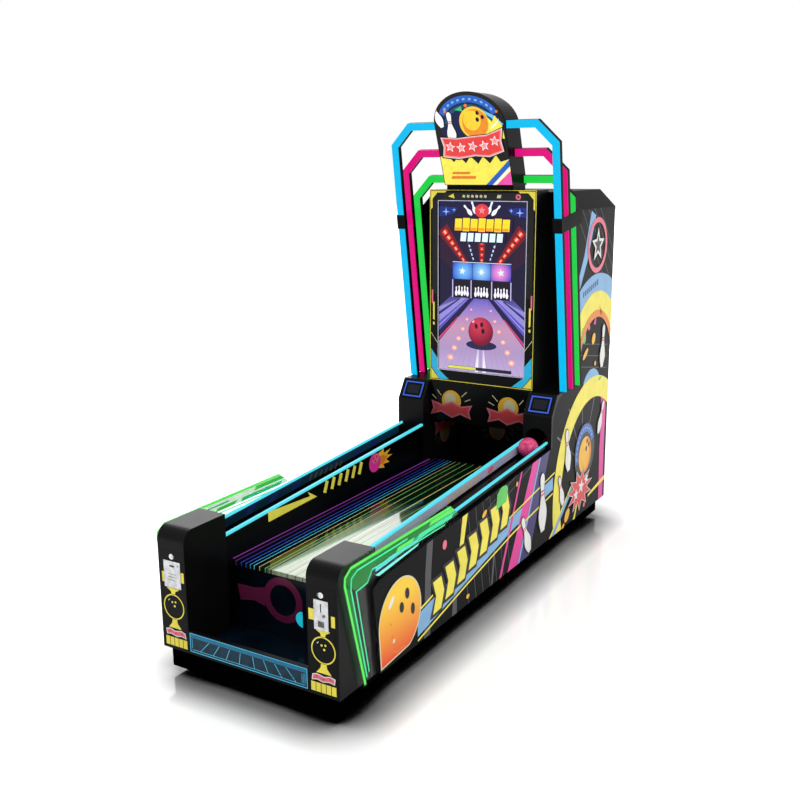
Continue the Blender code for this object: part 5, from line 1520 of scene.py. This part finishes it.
def screen_hall():
    """The picture's hall: walls, ceiling lamps, the lit far end and the pins."""
    eye = (0.0, 1.470)
    streaks, lamps, hearts, cold = [], [], [], []
    for angle in (52, 128):
        streaks.append(ray_quad(eye, angle - 5.5, angle + 5.5, 0.130, 0.400))
        for k in range(7):
            near = 0.135 + 0.037 * k
            lamps.append(ray_quad(eye, angle - 2.6, angle + 2.6, near, near + 0.027))
            a = radians(angle)
            reach = near + 0.013
            hearts.append(spot(
                eye[0] + cos(a) * reach, eye[1] + sin(a) * reach, 0.006 + 0.0009 * k, 0.0028 + 0.0006 * k, a
            ))
    streaks.append(ray_quad(eye, 84.5, 95.5, 0.130, 0.330))
    for k in range(6):
        near = 0.135 + 0.031 * k
        lamps.append(ray_quad(eye, 87, 93, near, near + 0.021))
        hearts.append(spot(0.0, eye[1] + near + 0.010, 0.0045, 0.003))
    for angle in (71, 109):
        for k in range(7):
            near = 0.155 + 0.024 * k
            cold.append(ray_quad(eye, angle - 1.1, angle + 1.1, near, near + 0.014))
    pins = [
        pin_shape(group + 0.0175 * (n - 2), 1.414 + 0.005 * (n % 2), 0.052)
        for group in (-0.120, 0.0, 0.120) for n in range(5)
    ]
    return [
        (screen_ground(), [oblong(-SCREEN_HALF, SCREEN_LOW, SCREEN_HALF, SCREEN_HIGH)]),
        (glow_ink("hall_wine", "#2A0F2E"), both_sides([
            (SCREEN_HALF, 1.500), (0.176, 1.520), (0.176, 1.600), (SCREEN_HALF, 1.800)
        ])),
        (glow_ink("hall_navy", "#120C30"), both_sides([
            (SCREEN_HALF, 1.345), (0.180, 1.420), (0.176, 1.560), (SCREEN_HALF, 1.620)
        ])),
        (glow_ink("streak_red", "#6A1422"), streaks),
        (glow_ink("lamp_red", "#E0342A"), lamps),
        (glow_ink("lamp_peach", "#FFC098"), hearts),
        (glow_ink("lamp_white", "#BFD4FF"), cold),
        (glow_ink("ceiling_blue", "#1C2C7C"), both_sides([
            (SCREEN_HALF, 1.846), (SCREEN_HALF, 1.902), (0.150, 1.896), (0.172, 1.866)
        ])),
        (glow_ink("ceiling_light", "#8FB8FF"), [
            *both_sides(burst(0.222, 1.874, 0.024, 0.005, 4)),
            *both_sides(burst(0.172, 1.884, 0.013, 0.003, 4)),
        ]),
        (glow_spot("end_left", "#1F4CC0", "#7FC4FF", (-0.110, 1.552), 0.075), [
            oblong(-0.178, 1.508, -0.058, 1.598),
        ]),
        (glow_spot("end_middle", "#1F4CC0", "#9AD4FF", (0.0, 1.552), 0.075), [
            oblong(-0.055, 1.508, 0.055, 1.598),
        ]),
        (glow_spot("end_right", "#2A3CB4", "#FF9AD8", (0.110, 1.552), 0.075), [
            oblong(0.058, 1.508, 0.178, 1.598),
        ]),
        (glow_ink("wall_ice", "#D8ECFF"), [
            burst(-0.118, 1.552, 0.022, 0.009, 5, 0.2), burst(0.0, 1.552, 0.022, 0.009, 6),
            burst(0.118, 1.552, 0.022, 0.009, 5, 0.5),
            stroke([(-0.178, 1.602), (0.178, 1.602)], 0.003),
        ]),
        (glow_ink("pit_dark", "#0A0718"), [oblong(-0.178, PICTURE_FAR, 0.178, 1.504)]),
        (glow_ink("pit_post", "#C8B8F0"), [
            oblong(x - 0.003, PICTURE_FAR, x + 0.003, 1.504)
            for x in (-0.178, -0.063, 0.063, 0.178)
        ]),
        (glow_ink("pin_white", "#F4F2FF"), pins),
    ]


def lane_light():
    """The picture's boards: lilac by the pins, pink in the middle, pale at the player's end."""
    finish, tree, shader, place = start_finish(
        "lit_boards", {"Specular IOR Level": 0.1, "Roughness": 0.22, "Emission Strength": 1.0}
    )
    part = add_node(tree, "ShaderNodeSeparateXYZ", links={"Vector": place})
    rise = add_node(
        tree, "ShaderNodeMapRange", {"From Min": SCREEN_LOW, "From Max": PICTURE_FAR},
        {"Value": part.outputs["Z"]}
    )
    ramp = add_node(tree, "ShaderNodeValToRGB", links={"Fac": rise.outputs["Result"]})
    set_ramp(ramp, [
        (0.0, tint("#B8A4D0")), (0.30, tint("#A890BC")), (0.62, tint("#C090AC")), (0.85, tint("#9078C4")),
        (1.0, tint("#5E54B8")),
    ])
    light_up(tree, shader, ramp, 0.2)
    return finish


def screen_lanes():
    """The picture's lanes: boards, gutters, lamps mirrored in them and the ball."""
    lane = [
        (-SCREEN_HALF, SCREEN_LOW), (SCREEN_HALF, SCREEN_LOW), (SCREEN_HALF, 1.150), (0.044, PICTURE_FAR),
        (-0.044, PICTURE_FAR), (-SCREEN_HALF, 1.150),
    ]
    boards = [stroke([(0.04 * k, SCREEN_LOW), (0.0052 * k, 1.398)], 0.0024, 0.0008) for k in range(-6, 7)]
    warm, hearts = [], []
    for side in (-1, 1):
        for k in range(6):
            u, v, r = side * (0.190 - 0.026 * k), 1.062 + 0.056 * k, 0.021 - 0.0028 * k
            warm.append(spot(u, v, r, r * 0.85))
            hearts.append(spot(u, v, r * 0.5, r * 0.42))
    return [
        (glow_ink("side_lilac", "#8E86CC"), both_sides([
            (SCREEN_HALF, 1.262), (SCREEN_HALF, 1.345), (0.120, PICTURE_FAR), (0.090, PICTURE_FAR)
        ])),
        (glow_ink("side_deep", "#2C2878"), both_sides([
            (SCREEN_HALF, 1.300), (SCREEN_HALF, 1.318), (0.140, 1.398), (0.128, 1.398)
        ])),
        (glow_ink("rail_violet", "#5A50B4"), both_sides([
            (SCREEN_HALF, 1.212), (SCREEN_HALF, 1.262), (0.090, PICTURE_FAR), (0.072, PICTURE_FAR)
        ])),
        (glow_ink("rail_light", "#A49AE8"), both_sides([
            (SCREEN_HALF, 1.236), (SCREEN_HALF, 1.243), (0.083, 1.403), (0.080, 1.403)
        ])),
        (glow_ink("gutter_deep", "#17143E"), both_sides([
            (SCREEN_HALF, 1.150), (SCREEN_HALF, 1.212), (0.072, PICTURE_FAR), (0.044, PICTURE_FAR)
        ])),
        (glow_ink("hot_pink", "#E03A82"), both_sides([
            (SCREEN_HALF, 1.158), (SCREEN_HALF, 1.172), (0.140, 1.302), (0.142, 1.294)
        ])),
        (lane_light(), [lane]),
        (glow_ink("board_line", "#9A86BC"), boards),
        (glow_spot("sheen", "#B8A4CC", "#F4F6FF", (0.0, 1.010), 0.130), [
            [(-0.036, 0.9915), (-0.014, 0.9915), (-0.010, 1.120), (-0.020, 1.120)],
            [(0.014, 0.9915), (0.036, 0.9915), (0.022, 1.120), (0.013, 1.120)]
        ]),
        (glow_ink("warm_pool", "#E8A0A0"), warm),
        (glow_ink("lamp_cream", "#FFD8B8"), hearts),
        (glow_ink("ball_shade", "#1C1A48"), [spot(0.004, 1.146, 0.094, 0.026)]),
        (glow_ink("ball_deep", "#5C0C24"), [spot(0.0, 1.222, 0.076, 0.080, steps=56)]),
        (glow_spot("ball_red", "#7A1230", "#D83A58", (-0.018, 1.262), 0.105), [
            spot(0.0, 1.224, 0.072, 0.076, steps=56),
        ]),
        (glow_ink("ball_hole", "#200410"), [
            spot(-0.028, 1.252, 0.010, 0.015, 0.2), spot(0.006, 1.262, 0.010, 0.014),
            spot(0.014, 1.226, 0.011, 0.015),
        ]),
        (glow_ink("ball_gleam", "#FFC0CC"), [spot(-0.046, 1.276, 0.008, 0.005, 0.7)]),
    ]


def screen_title():
    """The picture's heading: two rows of plain blocks under a crest of pins."""
    top = [
        oblong(
            -0.166 + 0.048 * k, 1.774 - 0.003 * (k % 2), -0.124 + 0.048 * k, 1.838 + 0.004 * (k % 2), 0.004
        )
        for k in range(7)
    ]
    under = [oblong(-0.130 + 0.044 * k, 1.716, -0.096 + 0.044 * k, 1.762, 0.004) for k in range(6)]
    shadow = [[(-0.178, 1.768), (0.184, 1.768), (0.188, 1.848), (-0.172, 1.848)]]
    outer_pins = [pin_shape(side * 0.060, 1.858, 0.072, side * -0.75) for side in (-1, 1)]
    inner_pins = [pin_shape(side * 0.038, 1.866, 0.070, side * -0.35) for side in (-1, 1)]
    return [
        (glow_ink("title_edge", "#1A0A38"), shadow + [[
            (-0.140, 1.708), (0.142, 1.708), (0.146, 1.766), (-0.136, 1.766)
        ]]),
        (glow_ink("title_gold", "#FFD82E"), top),
        (glow_ink("title_amber", "#F49A1E"), [
            oblong(-0.166 + 0.048 * k, 1.776, -0.128 + 0.048 * k, 1.790) for k in range(7)
        ]),
        (glow_ink("title_ice", "#DDF4FF"), under),
        (glow_ink("pin_white", "#F4F2FF"), outer_pins),
        (glow_ink("pin_white", "#F4F2FF"), inner_pins),
        (glow_ink("crest_red", "#D83A44"), [spot(0.0, 1.882, 0.043, 0.036, steps=40)]),
        (glow_ink("crest_light", "#FF8A86"), [burst(0.0, 1.884, 0.022, 0.010, 5, 0.3)]),
    ]


def screen_layers():
    """The whole picture, back sheets first."""
    return screen_hall() + screen_lanes() + screen_title()


def housing_layers():
    """The print round the screen: a grey bezel, yellow corners and lines, and small marks."""
    low, high, half = HOUSING[0][2], HOUSING[1][2], HOUSING[1][0]
    grey = powder_coat("bezel_grey_print", "#1C1C1D", "#262627", (0.35, 0.45))
    silver = plain_finish(
        "bezel_silver_line", "#A8A8B8", "#C4C4D4", 0.05, (0.2, 0.3), 0.001, 0.00001, **{"Metallic": 0.3}
    )
    return [
        (grey, [[
            (-0.304, 1.420), (-0.304, 1.940), (-0.270, 1.978), (0.270, 1.978), (0.304, 1.940),
            (0.304, 1.420), (SCREEN_HALF + 0.002, 1.420), (SCREEN_HALF + 0.002, SCREEN_HIGH + 0.002),
            (-SCREEN_HALF - 0.002, SCREEN_HIGH + 0.002), (-SCREEN_HALF - 0.002, 1.420),
        ]]),
        (vinyl("soot"), [oblong(-0.240, 1.9415, 0.240, 1.9745)]),
        (vinyl("yellow"), [
            oblong(-half + 0.001, low + 0.001, half - 0.001, high - 0.001),
            oblong(-half + 0.0040, low + 0.005, half - 0.0040, high - 0.004),
            *both_sides([(-0.3125, 0.9315), (-0.262, 0.9315), (-0.3125, 0.992)]),
            *both_sides([
                (-0.3125, 1.985), (-0.3125, 1.885), (-0.303, 1.895), (-0.303, 1.943),
                (-0.272, 1.977), (-0.225, 1.977), (-0.215, 1.986)
            ]),
            *both_sides([(-0.300, 1.275), (-0.290, 1.268), (-0.290, 1.372), (-0.300, 1.372)]),
            *both_sides(spot(-0.295, 1.250, 0.006, 0.009)),
            [(-0.205, 1.957), (-0.165, 1.946), (-0.172, 1.972)],
        ]),
        (glow_ink("bezel_aqua", "#2FB4E0", 0.7), both_sides([
            (-0.3125, 1.000), (-0.258, 0.9315), (-0.196, 0.9315), (-0.2665, 0.9885),
            (-0.2665, 1.046), (-0.3125, 1.104)
        ])),
        (vinyl("rose"), [
            *both_sides([(-0.308, 1.366), (-0.299, 1.360), (-0.299, 1.440), (-0.308, 1.440)]),
            *hoop(0.215, 1.957, 0.015, 0.006)
        ]),
        (vinyl("cream"), [
            *[
                stroke([(-0.110 + 0.026 * k, 1.952), (-0.106 + 0.026 * k, 1.965)], 0.015)
                for k in range(6)
            ],
            oblong(0.090, 1.950, 0.112, 1.967, 0.004),
            *both_sides(stroke([(-0.312, 1.196), (-0.268, 1.136)], 0.003)),
        ]),
        (silver, [
            oblong(-SCREEN_HALF - gap, SCREEN_LOW - gap, SCREEN_HALF + gap, SCREEN_HIGH + gap)
            for gap in (0.0045, 0.0004)
        ]),
    ]


class BOWLING_OT_screen(Operator):
    """Lays the picture on the display and the print round it on the housing"""

    bl_idname = "bowling.screen"
    bl_label = "Screen"

    def execute(self, context):
        lay_print("screen_picture", front_place(SCREEN_Y), screen_layers())
        lay_print("housing_print", front_place(HOUSING[0][1]), housing_layers())
        lay_print(
            "screen_gauge", front_place(SCREEN_Y - 0.0035),
            [
                (glow_ink("gauge_dark", "#1C2030", 0.8), [oblong(-0.205, 1.000, 0.190, 1.018)]),
                (glow_ink("gauge_lime", "#D8DC50"), [oblong(-0.203, 1.002, -0.030, 1.016)]),
            ],
        )
        return {"FINISHED"}


# The marquee's print


def marquee_layers():
    """The marquee: a dotted blue arc, a ball and pins over a banner and a jagged yellow field."""
    jag = [
        (-0.25, -0.05), (0.25, -0.05), (0.25, 0.155), (0.150, 0.128), (0.128, 0.165), (0.088, 0.120),
        (0.052, 0.158), (0.020, 0.118), (-0.022, 0.160), (-0.052, 0.122), (-0.092, 0.163), (-0.122, 0.128),
        (-0.160, 0.166), (-0.25, 0.150),
    ]
    banner = [
        (-0.178, 0.160), (-0.086, 0.150), (0.010, 0.164), (0.092, 0.158), (0.176, 0.186),
        (0.168, 0.240), (0.182, 0.304), (0.092, 0.272), (0.010, 0.266), (-0.086, 0.256), (-0.176, 0.262),
        (-0.166, 0.212),
    ]

    def shrunk(points, by):
        """The outline drawn in by a share of its width, and more of its height."""
        cx = sum(p[0] for p in points) / len(points)
        cy = sum(p[1] for p in points) / len(points)
        return [(cx + (x - cx) * (1 - by), cy + (y - cy) * (1 - by * 2.2)) for x, y in points]

    def lit(ink):
        return glow_ink(f"marquee_{ink}", MARQUEE_INK[ink], 0.82)

    pins = ((-0.108, 0.232, 0.165, 0.02), (-0.158, 0.318, 0.140, 0.30))
    stars = (
        (-0.130, 0.212, 0.1), (-0.066, 0.207, 0.4), (0.002, 0.214, 0.0), (0.070, 0.216, 0.5),
        (0.134, 0.240, 0.2)
    )
    return [
        (vinyl("black"), [oblong(-0.3, -0.1, 0.3, 0.6)]),
        (lit("navy"), [spot(0.0, 0.335, 0.176, 0.140, steps=48)]),
        (lit("blue"), [bow(0.0, MARQUEE_STRAIGHT, (0.182, 0.144), (0.148, 0.108), 22, 158)]),
        (lit("teal"), [bow(0.0, MARQUEE_STRAIGHT - 0.01, (0.142, 0.108), (0.124, 0.090), 5, 175)]),
        (lit("sky"), [
            spot(
                0.165 * cos(radians(a)), MARQUEE_STRAIGHT + 0.125 * sin(radians(a)), 0.0085, 0.0055,
                radians(a + 90), 14
            )
            for a in range(34, 150, 12)
        ] + [stroke([(0.080, 0.400), (0.140, 0.366), (0.184, 0.318)], 0.010, 0.026)]),
        (lit("yellow"), [jag, [
            (0.088, 0.270), (0.100, 0.372), (0.132, 0.340), (0.152, 0.372), (0.186, 0.318), (0.192, 0.250)
        ]]),
        (lit("cream"), [[(0.110, 0.300), (0.176, 0.356), (0.150, 0.318)]]),
        (lit("blue"), [[(0.022, -0.02), (0.060, -0.02), (0.250, 0.150), (0.250, 0.185)]]),
        (lit("white"), [[(0.062, -0.02), (0.078, -0.02), (0.250, 0.128), (0.250, 0.146)]]),
        (lit("pink"), [[(0.082, -0.02), (0.260, -0.02), (0.260, 0.128)]]),
        (lit("orange"), [
            spot(-0.130, 0.400, 0.010, 0.007, 0.5), spot(-0.005, 0.428, 0.009), spot(0.165, 0.392, 0.007),
            oblong(-0.156, 0.036, -0.010, 0.052, 0.008), oblong(-0.146, 0.062, -0.040, 0.075, 0.006),
        ]),
        (lit("green"), [[(-0.072, 0.408), (-0.030, 0.426), (-0.028, 0.398)]]),
        (lit("gold"), [spot(0.030, 0.338, 0.084, 0.084, steps=56)]),
        (lit("amber"), [spot(0.036, 0.334, 0.074, 0.075, steps=56)]),
        (lit("gold"), [spot(0.020, 0.350, 0.050, 0.052, steps=48)]),
        (vinyl("black"), [
            spot(0.056, 0.388, 0.009, 0.011, 0.2), spot(0.082, 0.366, 0.009, 0.011, 0.2),
            spot(0.052, 0.354, 0.010, 0.012, 0.2),
            pin_shape(*pins[0], 0.005),
        ]),
        (vinyl("black"), [pin_shape(*pins[1], 0.005)]),
        *[(lit("white"), [pin_shape(*pin)]) for pin in pins],
        (lit("red"), [stripe for pin in pins for stripe in pin_stripes(*pin)]),
        (vinyl("black"), [shrunk(banner, -0.060)]),
        (lit("white"), [shrunk(banner, -0.018)]),
        (lit("rose"), [banner]),
        (lit("red"), [shrunk(banner, 0.055)]),
        (lit("white"), [burst(u, v, 0.030, 0.013, 5, turn) for u, v, turn in stars]),
        (lit("rose"), [burst(u, v, 0.021, 0.009, 5, turn) for u, v, turn in stars]),
    ]


class BOWLING_OT_marquee(Operator):
    """Lays the marquee's print and trims it to the domed face"""

    bl_idname = "bowling.marquee"
    bl_label = "Marquee"

    def execute(self, context):
        out = Vector((0, -cos(MARQUEE_LEAN), -sin(MARQUEE_LEAN))) * MARQUEE_REACH
        lay_trimmed("marquee_print", marquee_place(), marquee_layers(), "marquee_face", out)
        return {"FINISHED"}


# The back


class BOWLING_OT_service_side(Operator):
    """Adds the louvres, the slits under them and the screws of the rear service door"""

    bl_idname = "bowling.service_side"
    bl_label = "Service side"

    def execute(self, context):
        black = powder_coat("black_powder_louvre", "#161617", "#1C1C1D")
        pick_none()
        bpy.ops.mesh.primitive_cube_add(size=1)
        fin = bpy.context.active_object
        fin.name = "louvre_0"
        fin.scale = FIN
        bpy.ops.object.transform_apply(location=False, rotation=False, scale=True)
        bpy.ops.object.mode_set(mode="EDIT")
        bpy.ops.mesh.select_all(action="DESELECT")
        bpy.ops.object.mode_set(mode="OBJECT")
        for edge in fin.data.edges:
            a, b = (fin.data.vertices[i].co for i in edge.vertices)
            edge.select = a.y > 0 and b.y > 0 and a.z > 0 and b.z > 0
        bpy.ops.object.mode_set(mode="EDIT")
        bpy.ops.mesh.select_mode(type="EDGE")
        bpy.ops.transform.translate(value=(0, -0.0024, 0))
        bpy.ops.object.mode_set(mode="OBJECT")
        modifier = fin.modifiers.new("Bevel", "BEVEL")
        modifier.width = 0.0006
        modifier.segments = 2
        bpy.ops.object.modifier_apply(modifier=modifier.name)
        fin.location = (0, REAR_DOOR[1][1] + 0.0008, FIN_LOW)
        bpy.ops.object.transform_apply(location=True, rotation=False, scale=False)
        fin.data.materials.append(black)
        fins, slits = [fin], []
        for number in range(2 * FIN_ROWS):
            level = FIN_PITCH * (number % FIN_ROWS) + (FIN_UPPER if number >= FIN_ROWS else 0)
            slits.append(oblong(-0.128, 0.4435 + level, 0.128, 0.4505 + level))
            if number:
                fins.append(copy_to(fin, f"louvre_{number}", (0, 0, level)))
        unite("rear_door_louvres", fins, "service_door")
        lay_print(
            "rear_door_slits", back_place(REAR_DOOR[1][1]), [(vinyl("black"), slits)], "service_door"
        )
        screws_at(
            "rear_door_screws", back_place(REAR_DOOR[1][1]),
            [(x, z) for x in (-0.352, 0.352) for z in (0.30, 0.66, 1.02, 1.38, 1.71)],
            DOOR_SCREW, zinc_steel(), "service_door",
        )
        return {"FINISHED"}


# Finishes of the solids


class BOWLING_OT_solid_finishes(Operator):
    """Gives every solid of the frame its finish"""

    bl_idname = "bowling.solid_finishes"
    bl_label = "Solid finishes"

    def execute(self, context):
        neon = context.scene.bowling_neon
        casing, gloss = casing_laminate(), gloss_laminate()
        side, steel, zinc = side_laminate(), brushed_steel(), zinc_steel()
        chrome, rubber = polished_chrome(), tyre_rubber()
        black_coat = powder_coat("black_powder_coat", "#040405", "#090909", shine=0.05)
        grey_coat = powder_coat("grey_powder_coat", "#262627", "#2C2C2E")
        strap_coat = powder_coat("strap_powder_coat", "#08090B", "#0F1012", shine=0.04)
        trough = lit_cover("lit_trough_cover", (*neon.trough, 1.0), neon.level)
        black_plastic = moulded_plastic("black_abs", "#151516", "#1F1F20")
        finishes = {
            "ball": ball_polyester(),
            # The base frame is black; its pure black without shine is painted shade under the machine.
            "base_frame": powder_coat("base_black_coat_painted_shade", "#010101", "#020202", (0.85, 0.95), 0.0),
            "coin_acceptor": steel, "ticket_plate": steel, "coin_box": grey_coat,
            "coin_return_button": moulded_plastic("grey_abs_button", "#5A5A5C", "#6A6A6C"),
            "display": moulded_plastic("display_casing", "#0C0C0E", "#141416"),
            "drive_roller": rubber, "kick_panel": casing, "lane_bed": lane_film(),
            "lift_stand": grey_coat,
            "lift_wheel": moulded_plastic("orange_lift_plastic", "#B85A20", "#CC6A2A"),
            "mains_inlet": black_plastic, "marquee_box": gloss_box(), "marquee_face": black_plastic,
            "mouth_header": gloss, "pit_chute": black_coat, "rear_cabinet": cabinet_laminate(),
            "rear_door": grey_coat, "rear_door_lock": chrome, "recess_liner": recess_gloss(),
            "screen_housing": casing,
        }
        for colour, code in (("cyan", neon.cyan), ("magenta", neon.magenta), ("green", neon.green)):
            finishes[f"{colour}_arch_light"] = lit_cover(f"lit_{colour}_cover", (*code, 1.0), neon.level)
            finishes[f"{colour}_arch_channel"] = black_coat
        wing = clear_acrylic()
        lens = lens_acrylic()
        for word, _side in SIDES:
            finishes.update({
                f"{word}_tower_shell": casing, f"{word}_tower_door": casing, f"{word}_door_lock": chrome,
                f"{word}_rail": gloss, f"{word}_inner_strip": trough, f"{word}_outer_strip": trough,
                f"{word}_side_board": side, f"{word}_wing": wing, f"{word}_shoulder": casing,
                f"{word}_shoulder_lens": lens, f"{word}_strap": strap_coat,
                f"castor_fork_front_{word}": zinc,
            })
            for end in ("front", "rear"):
                finishes[f"castor_wheel_{end}_{word}"] = rubber
                finishes[f"levelling_foot_{end}_{word}"] = zinc
        missing = set(NODES) - set(finishes)
        if missing:
            raise RuntimeError(f"no finish for {sorted(missing)}")
        for node, finish in finishes.items():
            dress(node, finish)
        return {"FINISHED"}


# The stage


def seen_pale(tree):
    """1 for a ray from the camera, a mirror or glass, and 0 for one that lights the object."""
    path = add_node(tree, "ShaderNodeLightPath")
    seen = path.outputs["Is Camera Ray"]
    for kind in ("Is Glossy Ray", "Is Transmission Ray"):
        seen = add_node(
            tree, "ShaderNodeMath", links={0: seen, 1: path.outputs[kind]}, operation="MAXIMUM"
        ).outputs[0]
    return seen


def floor_paint(reach):
    """Pale studio floor: white to the camera, with a painted contact shadow close under the machine,
    faintly glossy.
    """
    finish = bpy.data.materials.new("pale_studio_floor")
    finish.use_nodes = True
    tree = finish.node_tree
    shader = tree.nodes["Principled BSDF"]
    shader.inputs["Roughness"].default_value = 0.12
    seen = seen_pale(tree)
    # Painted contact shadow: the floor's colour and its light for the camera go dark where the machine is
    # near.
    close = add_node(tree, "ShaderNodeAmbientOcclusion", {"Distance": reach}, samples=32)
    ground = add_node(tree, "ShaderNodeValToRGB", links={"Fac": close.outputs["AO"]})
    set_ramp(ground, [
        (0.30, tint("#000000")), (0.50, tint("#161616")), (0.70, tint("#8C8C8C")), (1.0, tint("#EAEAEA")),
    ])
    tree.links.new(ground.outputs["Color"], shader.inputs["Base Color"])
    open_air = add_node(
        tree, "ShaderNodeMapRange", {"From Min": 0.50, "From Max": 1.0, "To Min": 0.0, "To Max": 0.24},
        {"Value": close.outputs["AO"]},
    )
    place = add_node(tree, "ShaderNodeTexCoord").outputs["Object"]
    away = add_node(tree, "ShaderNodeVectorMath", links={0: place}, operation="LENGTH")
    sweep = add_node(
        tree, "ShaderNodeMapRange", {"From Min": 1.7, "From Max": 4.5, "To Min": 0.0, "To Max": 0.9},
        {"Value": away.outputs["Value"]},
    )
    total = add_node(
        tree, "ShaderNodeMath", links={0: open_air.outputs["Result"], 1: sweep.outputs["Result"]},
        operation="ADD",
    )
    white = add_node(tree, "ShaderNodeEmission", {"Color": (1, 1, 1, 1)}, {"Strength": total.outputs[0]})
    both = add_node(
        tree, "ShaderNodeAddShader", links={0: shader.outputs["BSDF"], 1: white.outputs["Emission"]}
    )
    mix = add_node(
        tree, "ShaderNodeMixShader",
        links={0: seen, 1: shader.outputs["BSDF"], 2: both.outputs["Shader"]},
    )
    tree.links.new(mix.outputs["Shader"], tree.nodes["Material Output"].inputs["Surface"])
    return finish


def add_lamp(name, where, aim, size, watts):
    """A soft square lamp, turned to its aim."""
    data = bpy.data.lights.new(name, "AREA")
    data.size = size
    data.energy = watts
    lamp = bpy.data.objects.new(name, data)
    bpy.context.collection.objects.link(lamp)
    lamp.location = where
    lamp.rotation_euler = (Vector(aim) - Vector(where)).to_track_quat("-Z", "Y").to_euler()


def add_camera():
    """The camera at the photograph's place, turned by its yaw, pitch and roll."""
    forward = Vector((
        -sin(CAMERA_YAW) * cos(CAMERA_PITCH), cos(CAMERA_YAW) * cos(CAMERA_PITCH), sin(CAMERA_PITCH)
    ))
    level_right = Vector((cos(CAMERA_YAW), sin(CAMERA_YAW), 0))
    level_up = level_right.cross(forward)
    right = level_right * cos(CAMERA_ROLL) + level_up * sin(CAMERA_ROLL)
    up = level_up * cos(CAMERA_ROLL) - level_right * sin(CAMERA_ROLL)
    data = bpy.data.cameras.new("camera")
    data.lens = CAMERA_LENS
    data.sensor_width = CAMERA_SENSOR
    data.clip_end = CAMERA_REACH
    camera = bpy.data.objects.new("camera", data)
    bpy.context.collection.objects.link(camera)
    turn = Matrix((right, up, -forward)).transposed().to_4x4()
    camera.matrix_world = Matrix.Translation(CAMERA_PLACE) @ turn
    return camera


class BOWLING_OT_stage(Operator):
    """Sets the floor, the soft light and the camera"""

    bl_idname = "bowling.stage"
    bl_label = "Stage"

    def execute(self, context):
        scene = context.scene
        settings = scene.bowling_stage
        scene.view_settings.view_transform = "Standard"
        world = bpy.data.worlds.new("studio")
        scene.world = world
        world.use_nodes = True
        tree = world.node_tree
        back = tree.nodes["Background"]
        level = add_node(
            tree, "ShaderNodeMapRange", {"To Min": settings.sky, "To Max": 1.0}, {"Value": seen_pale(tree)}
        )
        back.inputs["Color"].default_value = (1, 1, 1, 1)
        tree.links.new(level.outputs["Result"], back.inputs["Strength"])
        pick_none()
        bpy.ops.mesh.primitive_plane_add(size=settings.floor * 2)
        floor = context.active_object
        floor.name = "floor"
        floor.data.materials.append(floor_paint(settings.shadow))
        for lamp in LAMPS:
            add_lamp(*lamp)
        scene.camera = add_camera()
        return {"FINISHED"}


class BOWLING_PT_dressing(Panel):
    """Lists the machine's steps"""

    bl_label = "Bowling machine"
    bl_space_type = "VIEW_3D"
    bl_region_type = "UI"
    bl_category = "Bowling"

    def draw(self, context):
        layout = self.layout
        for group in ("bowling_neon", "bowling_print", "bowling_stage"):
            settings = getattr(context.scene, group)
            box = layout.box()
            for key in settings.bl_rna.properties.keys():
                if key not in ("rna_type", "name"):
                    box.prop(settings, key)
        for step in STEPS:
            layout.operator(step.bl_idname)


GROUPS = (NeonSettings, PrintSettings, StageSettings)
STEPS = (
    BOWLING_OT_stage, BOWLING_OT_solid_finishes, BOWLING_OT_side_prints, BOWLING_OT_wing_lines,
    BOWLING_OT_door_fronts, BOWLING_OT_front_prints, BOWLING_OT_rail_prints, BOWLING_OT_mouth_prints,
    BOWLING_OT_lens_frames, BOWLING_OT_screen, BOWLING_OT_marquee, BOWLING_OT_service_side,
)


def register():
    """Registers the classes and hangs the settings on the scene."""
    for kind in (*GROUPS, *STEPS, BOWLING_PT_dressing):
        bpy.utils.register_class(kind)
    bpy.types.Scene.bowling_neon = PointerProperty(type=NeonSettings)
    bpy.types.Scene.bowling_print = PointerProperty(type=PrintSettings)
    bpy.types.Scene.bowling_stage = PointerProperty(type=StageSettings)


def unregister():
    """Takes the settings and the classes away again."""
    del bpy.types.Scene.bowling_stage
    del bpy.types.Scene.bowling_print
    del bpy.types.Scene.bowling_neon
    for kind in reversed((*GROUPS, *STEPS, BOWLING_PT_dressing)):
        bpy.utils.unregister_class(kind)


def main():
    """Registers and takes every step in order."""
    register()
    bpy.ops.bowling.stage()
    bpy.ops.bowling.solid_finishes()
    bpy.ops.bowling.side_prints()
    bpy.ops.bowling.wing_lines()
    bpy.ops.bowling.door_fronts()
    bpy.ops.bowling.front_prints()
    bpy.ops.bowling.rail_prints()
    bpy.ops.bowling.mouth_prints()
    bpy.ops.bowling.lens_frames()
    bpy.ops.bowling.screen()
    bpy.ops.bowling.marquee()
    bpy.ops.bowling.service_side()


if __name__ == "__main__":
    main()
